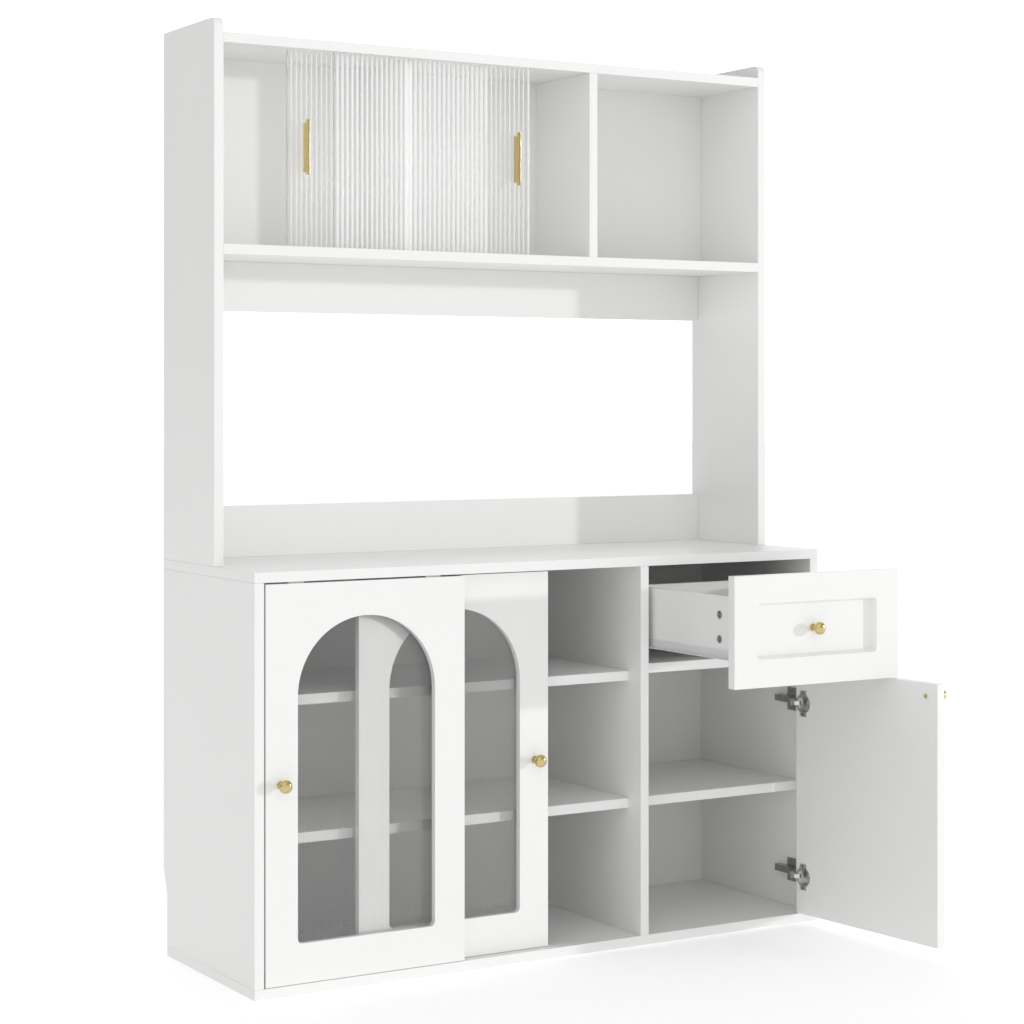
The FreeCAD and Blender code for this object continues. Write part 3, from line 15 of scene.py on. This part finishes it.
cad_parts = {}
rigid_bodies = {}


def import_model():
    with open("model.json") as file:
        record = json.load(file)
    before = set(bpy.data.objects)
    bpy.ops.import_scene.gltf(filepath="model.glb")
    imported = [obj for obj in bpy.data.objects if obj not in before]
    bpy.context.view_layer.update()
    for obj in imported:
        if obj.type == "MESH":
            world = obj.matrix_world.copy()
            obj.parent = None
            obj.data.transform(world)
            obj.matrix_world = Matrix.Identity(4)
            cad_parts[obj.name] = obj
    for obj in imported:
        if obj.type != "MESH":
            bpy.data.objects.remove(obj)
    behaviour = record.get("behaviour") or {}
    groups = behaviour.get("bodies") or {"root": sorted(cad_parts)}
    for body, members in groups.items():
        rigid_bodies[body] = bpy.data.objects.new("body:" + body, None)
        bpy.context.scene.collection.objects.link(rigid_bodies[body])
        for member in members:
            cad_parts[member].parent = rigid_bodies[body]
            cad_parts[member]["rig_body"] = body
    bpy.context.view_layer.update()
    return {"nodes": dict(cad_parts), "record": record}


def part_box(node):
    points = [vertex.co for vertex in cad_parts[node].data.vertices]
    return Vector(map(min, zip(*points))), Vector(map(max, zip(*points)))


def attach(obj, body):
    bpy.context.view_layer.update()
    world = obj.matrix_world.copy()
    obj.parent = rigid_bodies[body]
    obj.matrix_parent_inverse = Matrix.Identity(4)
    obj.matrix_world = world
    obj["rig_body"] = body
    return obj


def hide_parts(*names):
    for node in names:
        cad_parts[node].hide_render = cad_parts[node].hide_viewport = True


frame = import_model()
slots = {row["node"]: row["material_slot"] for row in frame["record"]["subparts"]}
body_of = {name: node["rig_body"] for name, node in frame["nodes"].items()}
scene = bpy.context.scene
MM = 0.001

# %% [markdown]
# ## Camera
# The uprights of the hutch stay upright in the picture, so the camera looks level and is
# turned to the right by 31 degrees. The lens is shifted down to frame the feet, as an
# architect's camera is. Place and lens come from a fit of the hutch's own corners.

# %% Camera
yaw = math.radians(31)
lens = bpy.data.cameras.new("camera")
lens.sensor_width = 36
lens.lens = 82.45
lens.shift_y = -0.1114
lens.clip_end = 120
camera = bpy.data.objects.new("camera", lens)
camera.location = (-2.2626, -3.8068, 1.0166)
camera.rotation_euler = (math.radians(90), 0, -yaw)
scene.collection.objects.link(camera)
scene.camera = camera
print("camera stands", round(camera.location.length, 2), "m from the hutch")

# %% [markdown]
# ## Helpers for light and finishes
# Colours are written as the hex values that one reads off a screen, and one function turns
# them into the linear numbers the renderer works with. Another adds a shader node, so that
# each finish below reads as a list of its layers. Patterns take their scale from real
# millimetres.


# %% Helpers for light and finishes
def linear(code):
    """An sRGB hex colour as linear RGBA."""
    parts = [int(code[i : i + 2], 16) / 255 for i in (0, 2, 4)]
    return (*(c / 12.92 if c <= 0.04045 else ((c + 0.055) / 1.055) ** 2.4 for c in parts), 1)


def per_metre(millimetres):
    """The texture scale of a pattern that repeats about every so many millimetres."""
    return 1 / (millimetres * MM)


def add(tree, kind, sockets=None, **settings):
    """Add a shader node with its settings, and fill or link its input sockets."""
    made = tree.nodes.new(kind)
    for name, value in settings.items():
        setattr(made, name, value)
    for key, value in (sockets or {}).items():
        if isinstance(value, bpy.types.NodeSocket):
            tree.links.new(value, made.inputs[key])
        else:
            made.inputs[key].default_value = value
    return made


def blank_finish(name):
    """A new material: its node tree and the piece's own coordinates."""
    material = bpy.data.materials.new(name)
    material.use_nodes = True
    tree = material.node_tree
    tree.nodes.clear()
    return material, tree, add(tree, "ShaderNodeTexCoord").outputs["Object"]


def close_finish(tree, **sockets):
    """End a material with one shader, whose sockets are filled or linked."""
    named = {key.replace("_", " "): value for key, value in sockets.items()}
    shader = add(tree, "ShaderNodeBsdfPrincipled", named)
    add(tree, "ShaderNodeOutputMaterial", {"Surface": shader.outputs["BSDF"]})


# %% [markdown]
# ## Light
# The shop picture is high key. A bright white wall stands behind the hutch and a dimmer one
# behind the camera, an even glow fills the rest and a little more comes from the roof, so
# everything is lit softly. A far lamp at the front right, as hard as a low sun, throws the
# knob shadows to the left and a little down. White paint sends back most of that light:
# fronts come out near white and the deep compartments fall to grey by themselves. Each
# wall is a patch of the world that fades in between two values of how far a direction
# points its way, and adds its gain to the glow.

# %% Light
scene.view_settings.view_transform = "Standard"
surround = bpy.data.worlds.new("white_surround")
surround.use_nodes = True
scene.world = surround
sky = surround.node_tree
heading = add(sky, "ShaderNodeTexCoord").outputs["Generated"]
view_line = {0: heading, 1: (math.sin(yaw), math.cos(yaw), 0)}
along = add(sky, "ShaderNodeVectorMath", view_line, operation="DOT_PRODUCT").outputs["Value"]
height = add(sky, "ShaderNodeSeparateXYZ", {"Vector": heading}).outputs["Z"]
glow = 0.27
for reach, start, full, gain in (
    (along, 0.7, 0.93, 1.28),
    (along, -0.3, -0.9, 0.66),
    (height, 0.2, 0.9, 0.46),
):
    span = {"Value": reach, "From Min": start, "From Max": full, "To Max": gain}
    wall = add(sky, "ShaderNodeMapRange", span, interpolation_type="SMOOTHSTEP").outputs["Result"]
    glow = add(sky, "ShaderNodeMath", {0: glow, 1: wall}, operation="ADD").outputs[0]
sky.links.new(glow, sky.nodes["Background"].inputs["Strength"])
sky.nodes["Background"].inputs["Color"].default_value = (1, 1, 1, 1)

key = bpy.data.lights.new("key", "SUN")
key.energy = 0.92
key.angle = math.radians(2)
lamp = bpy.data.objects.new("key", key)
beam = Vector((-1.46, 1, -0.17))
lamp.rotation_euler = beam.to_track_quat("-Z", "Y").to_euler()
scene.collection.objects.link(lamp)
print("key light of", key.energy, "W per square metre")

# %% [markdown]
# ## Lacquered and coated boards
# The boards are engineered wood under sprayed satin lacquer. Sprayed lacquer has a faint
# orange-peel ripple a few millimetres across, and its tone and gloss wander a little over
# a board. The eye reads that as paint instead of plastic. The back panels and the drawer
# box wear a thinner, duller coat.


# %% Lacquered and coated boards
def lacquer(name, light, dark, gloss, peel):
    """Sprayed lacquer between two tones, with a roughness and a ripple depth in mm."""
    material, tree, place = blank_finish(name)
    cloud = add(tree, "ShaderNodeTexNoise", {"Vector": place, "Scale": per_metre(180), "Detail": 3})
    tones = {0: cloud.outputs["Fac"], 6: linear(light), 7: linear(dark)}
    tone = add(tree, "ShaderNodeMix", tones, data_type="RGBA")
    span = {"Value": cloud.outputs["Fac"], "To Min": gloss - 0.05, "To Max": gloss + 0.05}
    sheen = add(tree, "ShaderNodeMapRange", span)
    ripple = add(tree, "ShaderNodeTexNoise", {"Vector": place, "Scale": per_metre(4), "Detail": 2})
    relief = {"Strength": 0.2, "Distance": peel * MM, "Height": ripple.outputs["Fac"]}
    bump = add(tree, "ShaderNodeBump", relief)
    close_finish(
        tree, Base_Color=tone.outputs[2], Roughness=sheen.outputs["Result"], Normal=bump.outputs["Normal"]
    )
    return material


# Clean white with a soft gleam on the fronts, tops and carcass
satin_white = lacquer("satin_white_lacquer", "F1F1F0", "EEEEED", 0.38, 0.05)
# A duller white for the thin back panels
coated_back = lacquer("white_coated_fibreboard", "EFEFEE", "ECECEB", 0.5, 0.03)
# A neutral white foil for the drawer box
drawer_foil = lacquer("white_drawer_foil", "EDEDEC", "E9E9E8", 0.42, 0.03)
print("board finishes:", satin_white.name, coated_back.name, drawer_foil.name)

# %% [markdown]
# ## Metals
# Knobs and pulls are brass, turned or milled, then polished. Polishing leaves a fine
# cloudiness in the gloss that keeps the highlights from looking like chrome. Hinges are
# nickel plated and screws zinc plated, both duller because they come from a drum. The
# screws behind the knobs keep the pale yellow that a zinc bath can leave.


# %% Metals
def metal(name, light, dark, gloss, grain, depth):
    """A metal between two tones, with a roughness and a grain size and depth in mm."""
    material, tree, place = blank_finish(name)
    cloud = add(tree, "ShaderNodeTexNoise", {"Vector": place, "Scale": per_metre(grain * 8), "Detail": 4})
    tones = {0: cloud.outputs["Fac"], 6: linear(light), 7: linear(dark)}
    tone = add(tree, "ShaderNodeMix", tones, data_type="RGBA")
    span = {"Value": cloud.outputs["Fac"], "To Min": gloss * 0.8, "To Max": gloss * 1.2}
    sheen = add(tree, "ShaderNodeMapRange", span)
    ripple = add(tree, "ShaderNodeTexNoise", {"Vector": place, "Scale": per_metre(grain), "Detail": 2})
    relief = {"Strength": 0.3, "Distance": depth * MM, "Height": ripple.outputs["Fac"]}
    bump = add(tree, "ShaderNodeBump", relief)
    close_finish(
        tree,
        Base_Color=tone.outputs[2],
        Roughness=sheen.outputs["Result"],
        Normal=bump.outputs["Normal"],
        Metallic=1.0,
    )
    return material


# Warm yellow gold of the knobs and pulls
polished_brass = metal("polished_brass", "DCCB94", "C6B06E", 0.2, 1.2, 0.01)
# Dark grey gleam of the hinge arms, plates and screws
nickel_plate = metal("nickel_plated_steel", "B8B8B6", "989896", 0.34, 0.8, 0.02)
# Brighter link and cup of the hinge
bright_nickel = metal("bright_nickel", "E2E2E0", "D2D2D0", 0.3, 0.8, 0.02)
# Pale yellow of the screws behind the knobs
yellow_zinc = metal("yellow_zinc_plate", "EFE4B4", "DCCC92", 0.36, 0.7, 0.02)
# Dull grey of the cam locks and screws
zinc_plate = metal("zinc_plated_steel", "C9C9C7", "AEAEAC", 0.4, 0.7, 0.02)
plated = (nickel_plate, bright_nickel, yellow_zinc, zinc_plate)
print("metals:", polished_brass.name, *(finish.name for finish in plated))

# %% [markdown]
# ## Powder coat, nylon and beech
# The runners are pressed steel under white powder coat, which has a pebbled skin of about
# half a millimetre. Guides, rollers and glass tabs are moulded nylon with a soft sheen.
# The dowels are plain beech, whose flecks run along the rod.


# %% Powder coat, nylon and beech
def pebbled(name, light, dark, gloss, grain, depth, stretch=(1, 1, 1)):
    """A skin with a pebble of a size and depth in mm, which may be stretched along an axis."""
    material, tree, place = blank_finish(name)
    laid = add(tree, "ShaderNodeMapping", {"Vector": place, "Scale": stretch})
    spots = {"Vector": laid.outputs["Vector"], "Scale": per_metre(grain), "Detail": 2}
    pebble = add(tree, "ShaderNodeTexNoise", spots)
    tones = {0: pebble.outputs["Fac"], 6: linear(light), 7: linear(dark)}
    tone = add(tree, "ShaderNodeMix", tones, data_type="RGBA")
    relief = {"Strength": 0.4, "Distance": depth * MM, "Height": pebble.outputs["Fac"]}
    bump = add(tree, "ShaderNodeBump", relief)
    close_finish(tree, Base_Color=tone.outputs[2], Normal=bump.outputs["Normal"], Roughness=gloss)
    return material


# A hard white skin on the drawer runners
powder_coat = pebbled("white_powder_coat", "DEDFE0", "D6D7D8", 0.4, 0.6, 0.02)
# A milky white on guides, rollers and tabs
nylon = pebbled("white_nylon", "E0E0DC", "D8D8D3", 0.5, 1.5, 0.01)
# Tan wood with dark flecks, hidden in the joints
beech = pebbled("plain_beech", "D9B78A", "B98E5C", 0.6, 1.2, 0.03, (0.2, 1, 1))
print("skins:", powder_coat.name, nylon.name, beech.name)

# %% [markdown]
# ## Fluted glass
# The panes are rolled with round flutes on the back. The flutes are real shape, so the
# view through them bends and gathers by itself. Rolled glass is a touch hazy where the
# roller drew it, so its roughness changes a little from place to place. The big upper
# panes are a touch milky and carry a fine frosted line in each valley between two flutes,
# which catches the lamp. A number on each face, called frost, says where the lines run.


# %% Fluted glass
def rolled_glass(name, tint, milk, frosting):
    """Glass of a tint with a milky share, and a higher one where the faces are marked."""
    material, tree, place = blank_finish(name)
    haze = add(tree, "ShaderNodeTexNoise", {"Vector": place, "Scale": per_metre(40), "Detail": 2})
    veil = add(tree, "ShaderNodeMapRange", {"Value": haze.outputs["Fac"], "To Min": 0.0, "To Max": 0.012})
    mark = add(tree, "ShaderNodeAttribute", attribute_name="frost")
    span = {"Value": mark.outputs["Fac"], "To Min": 1 - milk, "To Max": 1 - frosting}
    clear = add(tree, "ShaderNodeMapRange", span)
    close_finish(
        tree,
        Base_Color=linear(tint),
        Roughness=veil.outputs["Result"],
        Transmission_Weight=clear.outputs["Result"],
        IOR=1.5,
    )
    return material


# Bright panes with white lines, as the lamp picks out their valleys
line_glass = rolled_glass("frosted_line_glass", "FFFFFF", 0.05, 0.6)
# A faint grey tint on the lower glass is painted shade. It dims what stands behind the arched windows,
# where the panes cast no real shadow
shade_tint_glass = rolled_glass("shade_tinted_fluted_glass", "F0F1F0", 0.0, 0.1)
print("glass:", line_glass.name, shade_tint_glass.name)

# %% [markdown]
# ## Floor
# A plain pale floor carries the hutch. It reaches so far that its edge stays out of the
# views from above. A little glow of its own washes out the shadow under the hutch, as the
# white sweep in a shop picture does. It lies a hair lower than the feet, because two faces
# in one plane would flicker.

# %% Floor
floor_reach = 40
floor_drop = 0.2
floor_glow = 0.28
shape = bmesh.new()
bmesh.ops.create_grid(shape, x_segments=1, y_segments=1, size=floor_reach)
bmesh.ops.translate(shape, verts=shape.verts, vec=(0, 0, -floor_drop * MM))
floor = bpy.data.objects.new("floor", bpy.data.meshes.new("floor"))
shape.to_mesh(floor.data)
shape.free()
pale_floor, tree, place = blank_finish("pale_floor")
cloud = add(tree, "ShaderNodeTexNoise", {"Vector": place, "Scale": per_metre(400)})
tones = {0: cloud.outputs["Fac"], 6: linear("FFFFFF"), 7: linear("FCFCFC")}
tone = add(tree, "ShaderNodeMix", tones, data_type="RGBA")
close_finish(
    tree,
    Base_Color=tone.outputs[2],
    Roughness=0.9,
    Emission_Color=(1, 1, 1, 1),
    Emission_Strength=floor_glow,
)
floor.data.materials.append(pale_floor)
scene.collection.objects.link(floor)
print("floor of", round(floor.dimensions.x), "m across")

# %% [markdown]
# ## Helpers for pieces
# A CAD mesh is loose triangles. A copy is merged and its flat areas are joined into whole
# faces, so that bevels and recesses run clean. Smooth shading would bend the light on a
# broad flat face towards its rounded edges, so a modifier weighs the normals by area and
# leaves the roundness to the edges. Each finished piece rides on the body of the CAD node
# it stands for.


# %% Helpers for pieces
def merged(node):
    """A bmesh of a CAD node with its triangles joined into whole faces."""
    shape = bmesh.new()
    shape.from_mesh(frame["nodes"][node].data)
    bmesh.ops.remove_doubles(shape, verts=shape.verts, dist=0.002 * MM)
    bmesh.ops.dissolve_limit(shape, angle_limit=math.radians(0.6), verts=shape.verts, edges=shape.edges)
    return shape


def finished(node, shape, material, crease=24):
    """Turn a bmesh into the smooth-shaded piece that takes a CAD node's place."""
    mesh = bpy.data.meshes.new(f"{node}_dressed")
    shape.to_mesh(mesh)
    shape.free()
    if "custom_normal" in mesh.attributes:
        mesh.attributes.remove(mesh.attributes["custom_normal"])
    mesh.materials.clear()
    mesh.materials.append(material)
    for face in mesh.polygons:
        face.material_index = 0
        face.use_smooth = True
    mesh.set_sharp_from_angle(angle=math.radians(crease))
    made = bpy.data.objects.new(mesh.name, mesh)
    made.modifiers.new("level_faces", "WEIGHTED_NORMAL").keep_sharp = True
    scene.collection.objects.link(made)
    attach(made, body_of[node])
    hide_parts(node)
    return made


def ease(shape, width, shortest, steps=2):
    """Round the outer edges that are sharp and longer than a length in mm."""
    sharp = [
        edge
        for edge in shape.edges
        if edge.is_manifold
        and edge.is_convex
        and edge.calc_face_angle() > math.radians(28)
        and edge.calc_length() > shortest * MM
    ]
    bmesh.ops.bevel(
        shape,
        geom=sharp,
        offset=width * MM,
        offset_type="OFFSET",
        segments=steps,
        profile=0.5,
        affect="EDGES",
        clamp_overlap=True,
        material=-1,
    )
    return shape


# %% [markdown]
# ## Boards, fronts and panels
# Sanding and spraying leave a round of rather less than a millimetre on every outer edge.
# It catches a bright line of light, and where two boards meet flush it leaves the thin
# groove that shows the joint. The fronts, which hands touch, are eased a little more.

# %% Boards, fronts and panels
board_finish = {"white_board": satin_white, "back_board": coated_back, "drawer_board": drawer_foil}
board_round = {"white_board": 0.7, "back_board": 0.4, "drawer_board": 0.7}
front_round = 1.0
fronts = ("left_door_panel", "right_door_panel", "cupboard_door_panel", "drawer_front")
# These have arcs in their outline, whose short edges are eased too
arched = ("left_door_panel", "right_door_panel", "hutch_left_side", "hutch_right_side", "drawer_front")
for name, slot in slots.items():
    if slot in board_finish:
        width = front_round if name in fronts else board_round[slot]
        shape = ease(merged(name), width, shortest=1.5 if name in arched else 6)
        made = finished(name, shape, board_finish[slot])
        print(made.name, len(made.data.polygons), "faces")

# %% [markdown]
# ## Knobs
# A knob is turned on a lathe: a foot, a slim neck that flares into the head, and a round
# on the rim of the face. One half outline spun through a full turn gives the same body.
# The outline keeps the CAD knob's heights and radii, with arcs in place of its corners.


# %% Knobs
def arc(middle, radius, start, stop, steps=8):
    """Points on a circle of the outline plane between two angles in degrees."""
    angles = [math.radians(start + (stop - start) * i / steps) for i in range(steps + 1)]
    return [(middle[0] + radius * math.cos(a), middle[1] + radius * math.sin(a)) for a in angles]


def stand(corners, axis, top):
    """The matrix that stands a +Z shape along an axis, at the foot or the top of some corners."""
    turn = axis.to_track_quat("Z", "Y").to_matrix()
    points = [turn.transposed() @ corner.co for corner in corners]
    low, high = ([pick(p[i] for p in points) for i in range(3)] for pick in (min, max))
    level = high[2] if top else low[2]
    seat = turn @ Vector(((low[0] + high[0]) / 2, (low[1] + high[1]) / 2, level))
    return Matrix.Translation(seat) @ turn.to_4x4()


def turned(outline, steps=72):
    """Spin a half outline of radius and height in mm once around the Z axis."""
    shape = bmesh.new()
    corners = [shape.verts.new((r * MM, 0, h * MM)) for r, h in outline]
    edges = [shape.edges.new(pair) for pair in zip(corners, corners[1:])]
    bmesh.ops.spin(
        shape,
        geom=corners + edges,
        cent=(0, 0, 0),
        axis=(0, 0, 1),
        angle=math.tau,
        steps=steps,
        use_merge=True,
    )
    bmesh.ops.remove_doubles(shape, verts=shape.verts, dist=0.001 * MM)
    bmesh.ops.recalc_face_normals(shape, faces=shape.faces)
    return shape


FORWARD = Vector((0, -1, 0))
DOOR_OPEN = math.radians(95)
SWUNG = Matrix.Rotation(DOOR_OPEN, 3, "Z") @ FORWARD
foot = [(0, 0), (6.6, 0), *arc((6.6, 0.4), 0.4, -90, 0, 3), *arc((6.6, 1.6), 0.4, 0, 90, 3)]
neck = [*arc((6.0, 3.0), 1.0, 270, 180, 4), *arc((11.5, 10.5), 6.5, 180, 112)]
rim = [*arc((10.7, 18.0), 0.8, 250, 360, 4), *arc((4.5, 19.69), 7.0, 0, 82.2, 14)]
dome = [*arc((0, -13), 40, 82.2, 90, 6)[1:-1], (0, 27)]
knob_axes = {
    "left_door_knob": FORWARD,
    "right_door_knob": FORWARD,
    "drawer_knob": FORWARD,
    "cupboard_door_knob": SWUNG,
}
for name, axis in knob_axes.items():
    shape = turned(foot + neck + rim + dome)
    place = stand(frame["nodes"][name].data.vertices, axis, top=False)
    bmesh.ops.transform(shape, matrix=place, verts=shape.verts)
    print(finished(name, shape, polished_brass).name)

# %% [markdown]
# ## Pulls
# A pull is a slim bar on a shorter web that is glued to the glass. Its edges are rounded by
# a little under a millimetre, so they draw a fine bright line.

# %% Pulls
for name in ("upper_left_pull", "upper_right_pull"):
    shape = ease(merged(name), width=0.8, shortest=1, steps=3)
    print(finished(name, shape, polished_brass).name)

# %% [markdown]
# ## Panes
# Only the edges that the cutter leaves square are touched by the stone. The flutes keep
# the shape that the roller gave them. The steepest strips of each flute, beside its
# valleys, are marked for the frosted lines. A clear pane would block the lamp's direct
# light in the renderer, so the panes cast no shadow. The milky upper ones also let pass
# the light that bounces between the boards, because real glass hardly holds it back.

# %% Panes
steep_share = 0.9
for name, slot in slots.items():
    if slot == "fluted_glass":
        shape = merged(name)
        frost = shape.faces.layers.float.new("frost")
        shape.normal_update()
        fluted = [face for face in shape.faces if face.normal.y > 0.5]
        steep = steep_share * max(abs(face.normal.x) for face in fluted)
        for face in fluted:
            face[frost] = float(face.normal.x > steep)
        upper = name.startswith("upper")
        # The lower panes take the grey tint that paints the shade they would cast on the boards behind
        # them
        made = finished(name, shape, line_glass if upper else shade_tint_glass, crease=15)
        made.visible_shadow = False
        made.visible_diffuse = not upper
        marked = sum(item.value > 0.5 for item in made.data.attributes["frost"].data)
        print(made.name, len(made.data.polygons), "faces,", marked, "frosted")

# %% [markdown]
# ## Fittings
# Runners, rollers, guides, tabs and hinge parts are pressed, moulded or turned. All have
# slightly rounded edges, because a sharp edge would cut the hand that fits them.

# %% Fittings
fitting_finish = {"runner_steel": powder_coat, "white_nylon": nylon, "hinge_steel": nickel_plate}
for name, slot in slots.items():
    if slot in fitting_finish and not name.endswith("_screws"):
        material = bright_nickel if name in ("hinge_links", "hinge_cups") else fitting_finish[slot]
        made = finished(name, ease(merged(name), width=0.2, shortest=1.2), material)
        print(made.name, "in", material.name)

# %% [markdown]
# ## Screws and cam locks
# Cross recesses are pressed into screw heads and cast into cam locks, so that a driver can
# turn them. Two crossed bars, sunk into each head, are cut away with the Boolean modifier.
# Knob screws show their heads on the back of the fronts, hinge screws on the door and on
# the right wall, and cam locks look out of the drawer's two sides.


# %% Screws and cam locks
drawer_middle = sum(corner[0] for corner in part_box("drawer_front")) / 2


def heads(node, facing):
    """A matrix for each separate solid of a node, at the middle of the face that looks outwards.

    With no facing given, a solid looks away from the middle of the drawer.
    """
    shape = merged(node)
    found = []
    waiting = dict.fromkeys(shape.verts)
    while waiting:
        island = [waiting.popitem()[0]]
        for corner in island:
            near = [edge.other_vert(corner) for edge in corner.link_edges]
            fresh = [vert for vert in near if vert in waiting]
            for vert in fresh:
                del waiting[vert]
            island.extend(fresh)
        away = Vector((math.copysign(1, island[0].co.x - drawer_middle), 0, 0))
        found.append(stand(island, away if facing is None else facing, top=True))
    shape.free()
    return found


def recessed(node, places, length, width, depth, material):
    """A piece like a CAD node with a cross of a length, width and depth in mm in each head."""
    cutter = bmesh.new()
    for place in places:
        for size_x, size_y in ((length, width), (width, length)):
            bar = Matrix.Diagonal((size_x * MM, size_y * MM, 2 * depth * MM, 1))
            bmesh.ops.create_cube(cutter, size=1, matrix=place @ bar)
    tool = bpy.data.objects.new("cross_cutter", bpy.data.meshes.new("cross_cutter"))
    cutter.to_mesh(tool.data)
    cutter.free()
    blank = bpy.data.objects.new("blank", bpy.data.meshes.new("blank"))
    shape = ease(merged(node), width=0.3, shortest=0.2)
    shape.to_mesh(blank.data)
    for thing in (tool, blank):
        scene.collection.objects.link(thing)
    sink = blank.modifiers.new("cross", "BOOLEAN")
    sink.object = tool
    sink.use_self = True
    ready = blank.evaluated_get(bpy.context.evaluated_depsgraph_get())
    shape.clear()
    shape.from_mesh(ready.data)
    for thing in (tool, blank):
        mesh = thing.data
        bpy.data.objects.remove(thing)
        bpy.data.meshes.remove(mesh)
    return finished(node, shape, material)


FROM_WALL = Vector((-1, 0, 0))
knob_cross = (4.6, 1.1, 1.2)
hinge_cross = (3.6, 0.9, 0.9)
cam_cross = (9, 2, 2)
for name, facing, cross, material in (
    ("left_door_knob_screw", -FORWARD, knob_cross, yellow_zinc),
    ("right_door_knob_screw", -FORWARD, knob_cross, yellow_zinc),
    ("drawer_knob_screw", -FORWARD, knob_cross, yellow_zinc),
    ("cupboard_door_knob_screw", -SWUNG, knob_cross, yellow_zinc),
    ("hinge_cup_screws", -SWUNG, hinge_cross, nickel_plate),
    ("hinge_plate_screws", FROM_WALL, hinge_cross, nickel_plate),
    ("drawer_cam_locks", None, cam_cross, zinc_plate),
):
    made = recessed(name, heads(name, facing), *cross, material)
    print(made.name, len(made.data.polygons), "faces")

# %% [markdown]
# ## Hidden joinery
# Dowels, cam bolts and shelf pins sit inside the boards, so the CAD shapes carry over and
# only take their finish.

# %% Hidden joinery
hidden_finish = {"joint_dowels": beech, "drawer_cam_bolts": zinc_plate, "shelf_pins": zinc_plate}
for name, material in hidden_finish.items():
    mesh = frame["nodes"][name].data
    mesh.materials.clear()
    mesh.materials.append(material)
    print(name, "wears", material.name)
